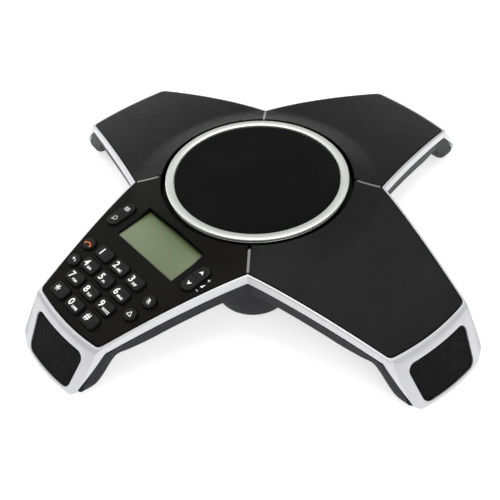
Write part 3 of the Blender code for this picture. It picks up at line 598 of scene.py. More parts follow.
def weave_group():
    """Plain weave: threads over and under in turn, painted lighter on their crests and darker at
    their edges.
    """
    inputs = [("Thread", "F", 0.0006)]
    tree, given, leave, place = group("plain_weave", inputs, [("Height", "F"), ("Shade", "F")])
    apart = add(tree, "ShaderNodeSeparateXYZ", {0: place})
    waves = []
    for axis in (0, 1):
        turn = sums(tree, "DIVIDE", apart.outputs[axis], given["Thread"])
        waves.append(sums(tree, "SINE", sums(tree, "MULTIPLY", turn, math.pi)))
    over = ramp(tree, sums(tree, "MULTIPLY", waves[0], waves[1]), -0.15, 0.15)
    warp = sums(tree, "ABSOLUTE", waves[0])
    weft = sums(tree, "ABSOLUTE", waves[1])
    mix = add(tree, "ShaderNodeMix", {0: over, 2: warp, 3: weft}, data_type="FLOAT").outputs[0]
    fuzz = noise_at(tree, place, 5200.0, 3.0)
    height = sums(tree, "MULTIPLY_ADD", fuzz, 0.35, mix)
    # Painted light and shade: the colour follows the height of the threads.
    shade = sums(tree, "MULTIPLY_ADD", height, 0.55, 0.62)
    return give(tree, leave, Height=height, Shade=shade)


def foam_group():
    """Open cell foam: pits of two sizes, with a painted highlight on the struts."""
    inputs = [("Cell scale", "F", 900.0)]
    tree, given, leave, place = group("open_cells", inputs, [("Height", "F"), ("Strut", "F")])
    scale = given["Cell scale"]
    big = add(tree, "ShaderNodeTexVoronoi", {"Vector": place, "Scale": scale}).outputs[0]
    links = {"Vector": place, "Scale": sums(tree, "MULTIPLY", scale, 2.3)}
    small = add(tree, "ShaderNodeTexVoronoi", links).outputs[0]
    height = sums(tree, "MULTIPLY_ADD", small, 0.5, big)
    rough = noise_at(tree, place, 1400.0, 4.0, 0.7)
    # Painted highlight: marks the raised struts between the pits for lightening.
    painted_strut_highlight = ramp(tree, sums(tree, "MULTIPLY", height, rough), 0.46, 0.70)
    return give(tree, leave, Height=height, Strut=painted_strut_highlight)


def turned_group():
    """Fine circular lines left by turning, about the object's Z axis."""
    inputs = [("Line scale", "F", 5000.0), ("Roughness", "F", 0.3)]
    tree, given, leave, place = group("turned_lines", inputs, [("Height", "F"), ("Roughness", "F")])
    flat = add(tree, "ShaderNodeVectorMath", {0: place, 1: (1, 1, 0)}, operation="MULTIPLY")
    links = {0: flat.outputs[0]}
    r = add(tree, "ShaderNodeVectorMath", links, operation="LENGTH").outputs["Value"]
    z = add(tree, "ShaderNodeSeparateXYZ", {0: place}).outputs[2]
    both = add(tree, "ShaderNodeCombineXYZ", {0: r, 1: z, 2: 0.0}).outputs[0]
    line = noise_at(tree, both, given["Line scale"], 2.0)
    wear = ramp(tree, noise_at(tree, place, 60.0, 4.0, 0.6), 0.4, 0.8)
    rough = sums(tree, "MULTIPLY_ADD", line, 0.12, given["Roughness"])
    rough = sums(tree, "MULTIPLY_ADD", wear, 0.08, rough, clamp=True)
    return give(tree, leave, Height=line, Roughness=rough)


def matrix_group():
    """Dot matrix of a liquid crystal display, in the piece's own X and Y, with a painted shade
    along its edges.
    """
    inputs = [("Pitch", "F", 0.00042), ("Half width", "F", 0.0294), ("Half height", "F", 0.0138)]
    tree, given, leave, place = group("dot_matrix", inputs, [("Grid", "F"), ("Border", "F")])
    apart = add(tree, "ShaderNodeSeparateXYZ", {0: place})
    lines = []
    edges = []
    for axis, half in ((0, "Half width"), (1, "Half height")):
        turn = sums(tree, "DIVIDE", apart.outputs[axis], given["Pitch"])
        turn = sums(tree, "FRACT", turn)
        lines.append(ramp(tree, sums(tree, "PINGPONG", turn, 0.5), 0.02, 0.12))
        reach = sums(tree, "ABSOLUTE", apart.outputs[axis])
        short = sums(tree, "SUBTRACT", given[half], reach)
        # Painted shade: the last millimetre inside each edge is marked for darkening.
        edges.append(ramp(tree, short, 0.0002, 0.0012, 1.0, 0.0))
    grid = sums(tree, "MULTIPLY", lines[0], lines[1])
    painted_edge_shade = sums(tree, "MAXIMUM", edges[0], edges[1])
    return give(tree, leave, Grid=grid, Border=painted_edge_shade)


def laminate_group():
    """Copper tracks under green solder mask."""
    inputs = [("Track scale", "F", 260.0)]
    tree, given, leave, place = group("laminate_tracks", inputs, [("Track", "F")])
    links = {"Vector": place, "Scale": given["Track scale"]}
    cells = add(tree, "ShaderNodeTexVoronoi", links, distance="MANHATTAN", feature="F1")
    track = ramp(tree, sums(tree, "PINGPONG", cells.outputs[0], 0.12), 0.05, 0.07)
    return give(tree, leave, Track=track)


GROUPS = {}
MAKERS = {
    "grain": grain_group,
    "dust": dust_group,
    "scuff": scuff_group,
    "weave": weave_group,
    "foam": foam_group,
    "turned": turned_group,
    "matrix": matrix_group,
    "laminate": laminate_group,
}


def use(tree, key, links=None):
    """Node of a shader group, which is made at its first use."""
    if key not in GROUPS:
        GROUPS[key] = MAKERS[key]()
    return add(tree, "ShaderNodeGroup", links, node_tree=GROUPS[key])


# ---- finishes ----
MADE = {}


def new_material(name, tone):
    made = bpy.data.materials.new(name)
    made.use_nodes = True
    made.diffuse_color = (*tone, 1)
    tree = made.node_tree
    return made, tree, tree.nodes["Principled BSDF"]


def bump(tree, shader, height, depth_mm, strength=1.0):
    links = {"Height": height, "Distance": depth_mm * MM, "Strength": strength}
    tree.links.new(add(tree, "ShaderNodeBump", links).outputs[0], shader.inputs["Normal"])


def grained(
    name, tone, rough, depth=0.02, scale=2500.0, metallic=0.0, dust=0.0, drift=0.08,
    marks=0.1, scuff=None, coat=0.0, specular=0.5,
):
    """Moulded, painted or cast finish with grain, marks, dust and scuffs."""
    if name in MADE:
        return MADE[name]
    made, tree, shader = new_material(name, tone)
    links = {"Colour": (*tone, 1), "Roughness": rough, "Grain scale": scale}
    base = use(tree, "grain", {**links, "Drift": drift, "Marks": marks})
    shown = base.outputs["Colour"]
    if scuff:
        links = {"Colour": shown, "Rubbed": (*scuff, 1), "Height": 0.009, "Amount": 0.45}
        shown = use(tree, "scuff", links).outputs["Colour"]
    if dust:
        shown = use(tree, "dust", {"Colour": shown, "Amount": dust}).outputs["Colour"]
    feed(tree, shader, {"Base Color": shown, "Roughness": base.outputs["Roughness"]})
    shader.inputs["Metallic"].default_value = metallic
    shader.inputs["Specular IOR Level"].default_value = specular
    if coat:
        shader.inputs["Coat Weight"].default_value = coat
        shader.inputs["Coat Roughness"].default_value = 0.18
    bump(tree, shader, base.outputs["Height"], depth)
    MADE[name] = made
    return made


def turned_metal(name, tone, rough, metallic=1.0):
    """Metal with circular tool lines."""
    if name in MADE:
        return MADE[name]
    made, tree, shader = new_material(name, tone)
    lines = use(tree, "turned", {"Line scale": 4200.0, "Roughness": rough})
    base = use(tree, "grain", {"Colour": (*tone, 1), "Roughness": rough, "Drift": 0.03})
    shown = base.outputs["Colour"]
    feed(tree, shader, {"Base Color": shown, "Roughness": lines.outputs["Roughness"]})
    shader.inputs["Metallic"].default_value = metallic
    bump(tree, shader, lines.outputs["Height"], 0.006, 0.6)
    MADE[name] = made
    return made


def cloth_finish(name, tone, thread):
    made, tree, shader = new_material(name, tone)
    cloth = use(tree, "weave", {"Thread": thread})
    # The weave's painted light and shade lightens the thread crests and darkens their edges.
    shade = cloth.outputs["Shade"]
    grey = add(tree, "ShaderNodeCombineColor", {0: shade, 1: shade, 2: shade}).outputs[0]
    shown = mixed(tree, 1.0, (*tone, 1), grey, "MULTIPLY")
    shown = use(tree, "dust", {"Colour": shown, "Amount": 0.006}).outputs["Colour"]
    tree.links.new(shown, shader.inputs["Base Color"])
    shader.inputs["Roughness"].default_value = 0.92
    shader.inputs["Specular IOR Level"].default_value = 0.06
    shader.inputs["Sheen Weight"].default_value = 0.02
    shader.inputs["Sheen Roughness"].default_value = 0.5
    bump(tree, shader, cloth.outputs["Height"], 0.12)
    return made


def foam_finish(name, tone):
    made, tree, shader = new_material(name, tone)
    cells = use(tree, "foam", {"Cell scale": 820.0})
    # Painted highlight: the struts are painted ten times lighter than the foam.
    highlight_tone = tuple(min(1.0, c * 10) for c in tone)
    shown = mixed(tree, cells.outputs["Strut"], (*tone, 1), (*highlight_tone, 1))
    tree.links.new(shown, shader.inputs["Base Color"])
    shader.inputs["Roughness"].default_value = 0.95
    shader.inputs["Specular IOR Level"].default_value = 0.2
    bump(tree, shader, cells.outputs["Height"], 0.5)
    return made


def display_finish(name, tone):
    made, tree, shader = new_material(name, tone)
    dots = use(tree, "matrix")
    base = use(tree, "grain", {"Colour": (*tone, 1), "Roughness": 0.34, "Drift": 0.05})
    dark = tuple(c * 0.86 for c in tone)
    shown = mixed(tree, dots.outputs["Grid"], (*dark, 1), base.outputs["Colour"])
    # Painted shade: the display darkens to about a fifth of its colour along its edges.
    rim = tuple(c * 0.22 for c in tone)
    shown = mixed(tree, dots.outputs["Border"], shown, (*rim, 1))
    feed(tree, shader, {"Base Color": shown, "Roughness": base.outputs["Roughness"]})
    shader.inputs["Coat Weight"].default_value = 0.15
    shader.inputs["Coat Roughness"].default_value = 0.2
    return made


def board_finish(name, tone):
    made, tree, shader = new_material(name, tone)
    track = use(tree, "laminate").outputs["Track"]
    base = use(tree, "grain", {"Colour": (*tone, 1), "Roughness": 0.35, "Grain scale": 900.0})
    lighter = tuple(min(1.0, c * 2.2) for c in tone)
    shown = mixed(tree, track, base.outputs["Colour"], (*lighter, 1))
    feed(tree, shader, {"Base Color": shown, "Roughness": base.outputs["Roughness"]})
    bump(tree, shader, track, 0.03)
    return made


def finishes():
    return bpy.context.scene.speakerphone_finish


def sizes():
    return bpy.context.scene.speakerphone_sizes


# ---- pieces ----
def frame_rings():
    """Cross sections of the silver frame along half an arm."""
    spec = ((0.3, 0.4, TIP_FILLET), (2.0, 3.4, 2.4), (0.3, 0.9, 4.5), (-1.8, -1.8, 4.4))
    edge, crease, wall, ledge = [rail(*s) for s in spec]
    outer, inner = rail(2.9, 4.2, 3.0), rail(0.6, 1.0, 3.0)
    low_out = (
        (156.6, 36.8, 31.2), (166.1, 35.2, 21.7), (175.2, 33.0, 12.4), (178.4, 30.4, 6.0),
        (180.9, SOLE_OUT, 2.0),
    )
    low_in = (
        (156.6, 33.6, 31.2), (164.6, 31.4, 21.7), (171.4, 29.6, 12.8), (173.2, 27.6, 6.2),
        (174.0, SOLE_IN, 2.0),
    )
    roll = sizes().frame_roll / MM
    rings = []
    for i in range(len(edge)):
        if i < SIDES:
            z = deck_z(edge[i].x) - BAND
            foot_out, foot_in = Vector((*outer[i], z)), Vector((*inner[i], z))
        elif i <= SIDES + ARCS:
            t = (i - SIDES) / ARCS
            foot_out, foot_in = through(low_out, t), through(low_in, t)
        else:
            left = 1 - (i - SIDES - ARCS) / ENDS
            foot_out = Vector((TOE_U - 2.7 * left**2, SOLE_OUT * left, TOE_Z))
            foot_in = Vector((TOE_U - 6.6 - 3.0 * left**2, SOLE_IN * left, TOE_Z))
        upper = [(edge[i], 0.25), (crease[i], 0.5)]
        lower = [(wall[i], 4.6), (ledge[i], 4.6), (ledge[i], 2.9), (edge[i], 2.9)]
        upper, lower = [[Vector((*p, deck_z(p.x) - d)) for p, d in e] for e in (upper, lower)]
        ring = [*upper, foot_out, foot_in, *lower]
        rounding = 1.1 + (roll - 1.1) * max(0.0, min(1.0, (i - SIDES) / 6))
        sole = 0.7 + 2.1 * max(0.0, min(1.0, (i - SIDES - 5) / 6))
        rings.append(soften(ring, (0.4, rounding, sole, 0.5, 0, 0, 0, 0)))
    return rings


def frame_band():
    """Sweeps half an arm's sections round all four arms into one closed band."""
    rings = frame_rings()
    last = len(rings) - 1
    order = [(i, -1) for i in range(last)] + [(i, 1) for i in range(last, 0, -1)]
    loop = []
    for k in range(4):
        turn = spin(k).to_3x3()
        for i, side in order:
            loop.append([turn @ Vector((p.x, p.y * side, p.z)) for p in rings[i]])
    size = len(loop[0])
    verts = [p for ring in loop for p in ring]
    faces = []
    for a in range(len(loop)):
        b = (a + 1) % len(loop)
        for j in range(size):
            n = (j + 1) % size
            faces.append((a * size + j, b * size + j, b * size + n, a * size + n))
    return mesh_of("upper_frame_detail", verts, faces)


def window_outline(grow, corner, arcs=10):
    """Rounded trapezoid of the microphone window, as (v, w)."""
    top, bottom = MIC_TOP + grow, MIC_BOTTOM + grow
    w0, w1 = MIC_W0 - grow, MIC_W1 + grow
    corners = [Vector(c) for c in ((top, w0), (-top, w0), (-bottom, w1), (bottom, w1))]
    points = []
    for i, c in enumerate(corners):
        a = (corners[i - 1] - c).normalized()
        b = (corners[(i + 1) % 4] - c).normalized()
        half = math.acos(a.dot(b)) / 2
        middle = c + (a + b).normalized() * (corner / math.sin(half))
        start = c + a * (corner / math.tan(half)) - middle
        end = c + b * (corner / math.tan(half)) - middle
        for j in range(arcs + 1):
            t = j / arcs
            points.append(middle + (start * (1 - t) + end * t).normalized() * corner)
    return points


def window_solid(name, grow, front, back, corner=MIC_CORNER, lines=(), pits=0.0):
    """The window's shape as a block that follows the bulge of the toe face."""
    grid = bmesh.new()
    grid.faces.new([grid.verts.new((p.x, p.y, 0)) for p in window_outline(grow, corner)])
    slice_at(grid, range(-26, 27, 4))
    if lines:
        slice_at(grid, lines, 1)
        slice_at(grid, [v / 2 for v in range(-53, 54, 3)])
    rim = {v for e in grid.edges if e.is_boundary for v in e.verts}
    depth_of = {}
    for vert in grid.verts:
        dent = 0.0
        if pits and vert not in rim:
            dent = pits * (noise.noise(Vector((vert.co.x, vert.co.y, 3.0)) * 0.9) * 0.5 + 0.5)
        depth_of[(round(vert.co.x, 4), round(vert.co.y, 4))] = front + dent
    far = doubled(grid)
    for vert in grid.verts:
        depth = depth_of[(round(vert.co.x, 4), round(vert.co.y, 4))]
        vert.co = on_face(vert.co.x, vert.co.y, back if vert in far else depth) * MM
    return closed(grid, name)


def panel_level(x, y, u):
    """Height of a panel's top at x and y, which lies at u along its arm."""
    return deck_z(u) + deck_rise(x, y)


def panel_outline():
    """Edge of a deck panel in its arm: well, seam, side, tip and back."""
    back = rail(-GAP, -GAP, TIP_FILLET)
    seam = STRIP_W / 2 + 0.15
    start = math.pi / 4 - math.asin(seam / WELL_R)
    turns = [start * (1 - i / 28) for i in range(29)]
    arc = [unit(a) * WELL_R for a in turns]
    p = Vector((DIAGONAL.y, -DIAGONAL.x)) * seam
    t = 0.0
    for _ in range(60):
        q = p + DIAGONAL * t
        if q.x > NOTCH:
            t += (half_width(q.x) - GAP / SIDE_N.y - q.y) / (DIAGONAL.y * (1 + SIDE_SLOPE))
        else:
            t += NOTCH + 0.5 - q.y
    corner = p + DIAGONAL * t
    half = [corner] + [q for q in back[1:] if q.x > corner.x + 1.0]
    upper = arc[::-1] + half
    return upper + [Vector((q.x, -q.y)) for q in upper[1:-1]][::-1]


def panel_mesh(name):
    """Slab that is bent down along the arm and up at the well."""
    grid = bmesh.new()
    grid.faces.new([grid.verts.new((p.x, p.y, 0)) for p in panel_outline()])
    slice_at(grid, [50 + 2 * i for i in range(20)] + [92 + 4 * i for i in range(17)])
    slice_at(grid, [4 * i for i in range(-13, 14)], 1)
    low = doubled(grid)
    for vert in grid.verts:
        x, y, _ = vert.co
        vert.co.z = panel_level(x, y, x) - (PANEL if vert in low else 0.0)
        vert.co *= MM
    mesh = closed(grid, name)

    def at_well(p, angle):
        near = abs(math.hypot(p.x, p.y) - WELL_R) < 0.25
        return near and angle > 60 and p.z > DECK_Z + RISE - 1

    def at_rim(p, angle):
        away = math.hypot(p.x, p.y) - WELL_R > WELL_CLEAR
        return away and angle > 60 and p.z > panel_level(p.x, p.y, p.x) - TOP_BAND

    bevel_edges(mesh, at_well, 1.9, 6)
    bevel_edges(mesh, at_rim, sizes().panel_edge / MM, 4)
    return mesh


def boss_mesh():
    top = deck_z(SCREW_U) - 2.0
    profile = [(1.7, 34.2), (3.4, 34.2), (3.4, top), (1.7, top)]
    return turned("boss", profile, 32)


def seat(x, u):
    """Frame of a key: origin on the deck, Z along the deck's normal."""
    return move(x, -u, deck_z(u)) @ Matrix.Rotation(deck_tilt(u), 4, "X")


def display_seat():
    tilt = math.atan2(deck_z(LCD_U0) - deck_z(LCD_U1), LCD_U1 - LCD_U0)
    middle = move(0, -(LCD_U0 + LCD_U1) / 2, (deck_z(LCD_U0) + deck_z(LCD_U1)) / 2)
    return middle @ Matrix.Rotation(tilt, 4, "X")


KEY_NAMES = (("1", "2", "3"), ("4", "5", "6"), ("7", "8", "9"), ("star", "0", "hash"))
ROUND_KEYS = {  # place across and along the arm
    "key_hook": (-36.0, 115.6),
    "key_flash": (-33.2, 129.8),
    "key_mute": (32.6, 116.6),
    "key_conference": (30.6, 130.0),
}
DIGIT_KEYS = {
    "key_" + label: (x, u)
    for u, names in zip(KEY_ROWS, KEY_NAMES)
    for x, label in zip(KEY_COLUMNS, names)
}
ROCKERS = {"rocker_menu": (-PILL_X, PILL_U), "rocker_volume": (PILL_X, PILL_U)}
LETTERS = {
    "2": "ABC", "3": "DEF", "4": "GHI", "5": "JKL", "6": "MNO",
    "7": "PQRS", "8": "TUV", "9": "WXYZ", "0": "OPER",
}


def keypad_holes():
    cuts = []
    for x, u in DIGIT_KEYS.values():
        cuts.append((rounded(KEY_W + 2 * GAP, KEY_H + 2 * GAP, 2.6 + GAP), seat(x, u)))
    for x, u in ROUND_KEYS.values():
        side = 2 * (ROUND_R + GAP)
        cuts.append((rounded(side, side, ROUND_R + GAP - 0.01, 12), seat(x, u)))
    for x, u in ROCKERS.values():
        w, h = PILL_W + 2 * GAP, PILL_L + 2 * GAP
        cuts.append((rounded(w, h, w / 2 - 0.01, 12), seat(x, u)))
    w, h = 2 * LCD_HALF, LCD_U1 - LCD_U0
    cuts.append((rounded(w, h, 1.2), display_seat()))
    reach = (-HOLE_REACH, HOLE_REACH)
    return [cut(stack("hole", [(outline, z) for z in reach]), place) for outline, place in cuts]


def cap_mesh(name, w, h, r, up, rim, edge, arcs=8):
    """Key cap: flange under the panel, stem, softly rounded top with a shallow crown."""
    flange = rounded(w + 2 * rim, h + 2 * rim, r + rim, arcs)
    layers = [(flange, FLANGE_LOW), (flange, FLANGE_TOP)]
    layers.append((rounded(w, h, r, arcs), FLANGE_TOP + 0.02))
    for i in range(7):
        a = QUARTER * i / 6
        inset = edge * (1 - math.cos(a))
        side = max(r - inset, 0.3)
        z = up - 0.15 - edge * (1 - math.sin(a))
        layers.append((rounded(w - 2 * inset, h - 2 * inset, side, arcs), z))
    inset = edge + 0.9
    side = max(r - inset, 0.3)
    layers.append((rounded(w - 2 * inset, h - 2 * inset, side, arcs), up - 0.06))
    return smooth(stack(name, layers), 50)


# ---- print ----
INK = 0.05


def lettering(text, height, bold=0.0):
    """Flat raised glyphs, centred, of a height in mm; returns mesh."""
    data = bpy.data.curves.new("ink", "FONT")
    data.body, data.size, data.offset = text, 1.0, 0.0
    data.align_x = data.align_y = "CENTER"
    data.resolution_u = 4
    holder = bpy.data.objects.new("ink", data)
    bpy.context.scene.collection.objects.link(holder)
    bpy.context.view_layer.update()
    tall = max(c[1] for c in holder.bound_box) - min(c[1] for c in holder.bound_box)
    data.size = height * MM / tall
    data.offset = bold * height * MM
    data.extrude = INK * MM / 2
    bpy.context.view_layer.update()
    graph = bpy.context.evaluated_depsgraph_get()
    mesh = bpy.data.meshes.new_from_object(holder.evaluated_get(graph))
    bpy.data.objects.remove(holder)
    mesh.materials.clear()
    xs = [v.co.x for v in mesh.vertices]
    ys = [v.co.y for v in mesh.vertices]
    middle = Vector(((min(xs) + max(xs)) / 2, (min(ys) + max(ys)) / 2, 0))
    mesh.transform(Matrix.Translation(-middle))
    return mesh


def plate(points):
    """Thin flat plate of an outline in mm."""
    return stack("ink", [(points, -INK / 2), (points, INK / 2)])


def stroke(points, width, shut=False):
    """Flat line of a width through points in mm."""
    meshes = []
    ends = list(zip(points, points[1:])) + ([(points[-1], points[0])] if shut else [])
    for a, b in ends:
        a, b = Vector(a), Vector(b)
        side = Vector((-(b - a).y, (b - a).x)).normalized() * width / 2
        meshes.append((plate([a + side, b + side, b - side, a - side]), None))
    for p in points:
        meshes.append((rod("ink", width / 2, -INK / 2, INK / 2, 12, p), None))
    return joined("ink", meshes)


def drawn(name, *lines):
    """Mark of strokes: (points, width), or (points, width, True) for a closed one."""
    return joined(name, [(stroke(*line), None) for line in lines])


def star_mark(size):
    """Asterisk of three crossing strokes."""
    turns = [QUARTER * i / 3 for i in (0, 2, 4)]
    ends = [unit(a) * 0.4 * size for a in turns]
    return drawn("ink", *[([end, -end], 0.75) for end in ends])


def arc_points(cx, cy, r, a0, a1, n=10):
    turn = [math.radians(a0 + (a1 - a0) * i / n) for i in range(n + 1)]
    return [(cx + r * math.cos(a), cy + r * math.sin(a)) for a in turn]


def handset_mark():
    ears = [([(side * 2.15, -0.5), (side * 2.6, -1.2)], 1.25) for side in (-1, 1)]
    return drawn("handset_mark", (arc_points(0, -2.2, 2.6, 140, 40, 12), 0.85), *ears)


def return_mark():
    hook = ([(1.6, -0.9), (1.6, 0.5), (-1.4, 0.5)], 0.45)
    return drawn("return_mark", hook, ([(-0.5, 1.4), (-1.5, 0.5), (-0.5, -0.4)], 0.45))


def mute_mark():
    """Crossed-out microphone."""
    capsule = arc_points(0, 0.9, 0.62, 0, 180) + arc_points(0, -0.1, 0.62, 180, 360)
    holder = (arc_points(0, -0.1, 1.25, 180, 360), 0.32)
    foot, bar = ([(0, -1.35), (0, -2.0)], 0.32), ([(-1.7, 1.5), (1.7, -1.7)], 0.36)
    bars = drawn("bars", holder, foot, bar)
    return joined("mute_mark", [(plate(capsule), None), (bars, None)])


def triangle_mark():
    return stroke([(0, 1.7), (-1.9, -1.3), (1.9, -1.3)], 0.45, True)


def wedge_mark(up):
    s = 1 if up else -1
    return plate([(-1.9, -1.2 * s), (0, -0.5 * s), (1.9, -1.2 * s), (0, 1.6 * s)][:: s])


def book_mark():
    cover = ([(-1.7, 1.2), (-1.7, -1.2), (1.7, -1.2), (1.7, 1.2)], 0.35, True)
    rows = [([(x, y), (x + 0.5, y)], 0.25) for y in (0.5, -0.3) for x in (0.7, -1.2)]
    return drawn("book_mark", cover, ([(0, 1.2), (0, -1.2)], 0.35), *rows)


def bubble_mark():
    shape = arc_points(0, 0.2, 1.5, -115, 225, 18)
    return stroke([*shape, (-1.6, -2.0)], 0.38, True)


def print_piece(name, parts, finish, body, matrix):
    """Ink on a key or on the deck: (mesh, x, y, height) in the frame of matrix."""
    placed = [(mesh, move(*at)) for mesh, *at in parts]
    return piece(name, joined(name, placed), finish, body, (), matrix)


# ---- lower shell ----
TOE_ARCH = (
    (139.0, 25.6), (147.0, 22.6), (152.0, 17.6), (156.5, 11.0),
    (161.0, 4.6), (166.0, 2.0), (200.0, 2.0),
)


def low_z(u):
    if u <= TOE_ARCH[0][0]:
        return deck_z(u) - ARM_DEPTH
    for (a, za), (b, zb) in zip(TOE_ARCH, TOE_ARCH[1:]):
        if u <= b:
            return za + (zb - za) * (u - a) / (b - a)
    return TOE_Z


def tray_width(u):
    return max(half_width(u), TIP_V - max(0.0, u - 150.0) * 0.05)


def shell_sections(inset):
    """Half sections of the tray, from the top middle round to the bottom middle.

    A station says how far along the arm its upper and its lower end lie.
    """
    stations = [(u, u) for u in (NOTCH, 72, 86, 100, 114, 127)] + [
        (138, 139), (143, 147), (146, 152.5), (149, 159), (152.5, 166), (156.9, 179.4),
    ]
    sections = []
    for n, (top_u, low_u) in enumerate(stations):
        last = n == len(stations) - 1
        if inset and last:
            top_u, low_u = 168.0, 188.0
        elif inset and n:
            top_u, low_u = top_u + 1.7, low_u + 1.7
        side_u = top_u + 0.8 * (low_u - top_u)
        r = 2.6 + 7.4 * min(1.0, max(0.0, (low_u - 128.0) / 34.0))
        v_side = min(tray_width(side_u) + 0.9, 33.8 if low_u > 160 else 99) - inset
        top = deck_z(min(top_u, 157.0)) - 6.6 + (14.0 if inset else 0.0)
        low = low_z(low_u) + inset
        v_top = tray_width(top_u) + 2.5 - inset
        a, b = Vector((side_u, v_side, low + r)), Vector((low_u, v_side - r, low))
        end = Vector((low_u, 0.0, low))
        if last and not inset:
            a, b = Vector((172.2, v_side, low + r)), Vector((175.2, v_side - r, low))
            end = Vector((178.2, 0.0, low))
        knee = Vector(((a.x + b.x) / 2 + (b.x - a.x) * 0.1, v_side, low))
        start = [Vector((top_u, v, top)) for v in (0.0, v_top)]
        section = [*start, *bend(a, knee, b, 8), end]
        if n == 0:
            for i, p in enumerate(section):
                if p.y:
                    d = NOTCH + (p.y - NOTCH) / SIDE_N.y / (1 + SIDE_SLOPE)
                    section[i] = Vector((d, d, p.z))
        sections.append(section)
    return sections


def tray(name, inset, fine):
    """Solid of the four arms; fine gives the sections drawn between the stations."""
    coarse = shell_sections(inset)
    sections = []
    steps = fine * (len(coarse) - 1)
    for i in range(steps + 1):
        t = i / steps
        columns = zip(*coarse)
        sections.append([through(list(column), t) for column in columns])
    sections[0], sections[-1] = coarse[0], coarse[-1]
    verts, faces = [], []

    def put(p, k, side):
        verts.append(spin(k).to_3x3() @ Vector((p.x, p.y * side, p.z)))
        return len(verts) - 1

    for k in range(4):
        for side in (1, -1):
            rows = [[put(p, k, side) for p in section] for section in sections]
            for a, b in zip(rows, rows[1:]):
                for i in range(len(a) - 1):
                    faces.append((a[i], b[i], b[i + 1], a[i + 1]))
            faces.append(tuple(rows[-1]))
    first = sections[0]
    for z, corner in ((first[0].z, first[1]), (first[-1].z, first[-2])):
        square = []
        for k in range(4):
            square.append(put(Vector((NOTCH, 0, z)), k, 1))
            square.append(put(Vector((corner.x, corner.y, z)), k, 1))
        faces.append(tuple(square))
    return mesh_of(name, verts, faces)


def pod(name, inset, arcs):
    """Rounded square bowl under the middle."""
    levels = [(42.0, 66.6, 22.0), (26.0, 66.0, 23.0), (11.0, 64.4, 25.0)]
    levels += [(8.4, 63.6, 25.0), (6.0, 62.0, 25.0), (4.7, 59.8, 24.0), (POD_Z, 57.0, 23.0)]
    if inset:
        levels = [(z + inset, a - inset, r - inset) for z, a, r in levels]
        levels[0] = (58.0, *levels[0][1:])
    return stack(name, [(rounded(2 * a, 2 * a, r, arcs), z) for z, a, r in levels[::-1]])


PORTS = {  # place across, width and height
    "line_jack": (-24.0, 13.0, 12.0),
    "usb_port": (0.0, 12.4, 11.4),
    "dc_jack": (23.0, 9.4, 11.0),
}


def keep_largest(mesh):
    """Drops the loose crumbs that cutting leaves."""
    grid = bmesh.new()
    grid.from_mesh(mesh)
    left, bodies = set(grid.verts), []
    while left:
        body, edge = [], [left.pop()]
        while edge:
            vert = edge.pop()
            body.append(vert)
            near = {e.other_vert(vert) for e in vert.link_edges} & left
            left -= near
            edge.extend(near)
        bodies.append(body)
    bodies.sort(key=len)
    bmesh.ops.delete(grid, geom=[v for b in bodies[:-1] for v in b], context="VERTS")
    grid.to_mesh(mesh)
    grid.free()


def shell_mesh():
    cuts = [
        ("UNION", pod("pod", 0.0, 18), None),
        cut(tray("tray_room", WALL, 1)),
        cut(pod("pod_room", WALL, 8)),
    ]
    floor = deck_z(SCREW_U) - ARM_DEPTH
    at = (SCREW_U, SCREW_V)
    for k in range(4):
        cuts.append(("UNION", rod("stud", POST_R, POST_LOW, POST_TOP, 24, POST_AT), spin(k)))
        cuts.append(cut(rod("hole", 1.75, 20.0, 36.0, 24, at), spin(k)))
        cuts.append(cut(rod("sink", 3.3, 20.0, floor + 0.9, 32, at), spin(k)))
        cuts.append(cut(block("bed", (166.65, -17.35, -5), (175.35, 17.35, 2.9)), spin(k)))
    for x, w, h in PORTS.values():
        side = w / 2 + GAP
        low, high = (x - side, 55.0, JACK_Z0 - GAP), (x + side, 72.0, JACK_Z0 + h + GAP)
        cuts.append(cut(block("port", low, high)))
    made = boolean(tray("bottom_shell_detail", 0.0, 4), cuts)
    keep_largest(made)
    return smooth(made, 32)


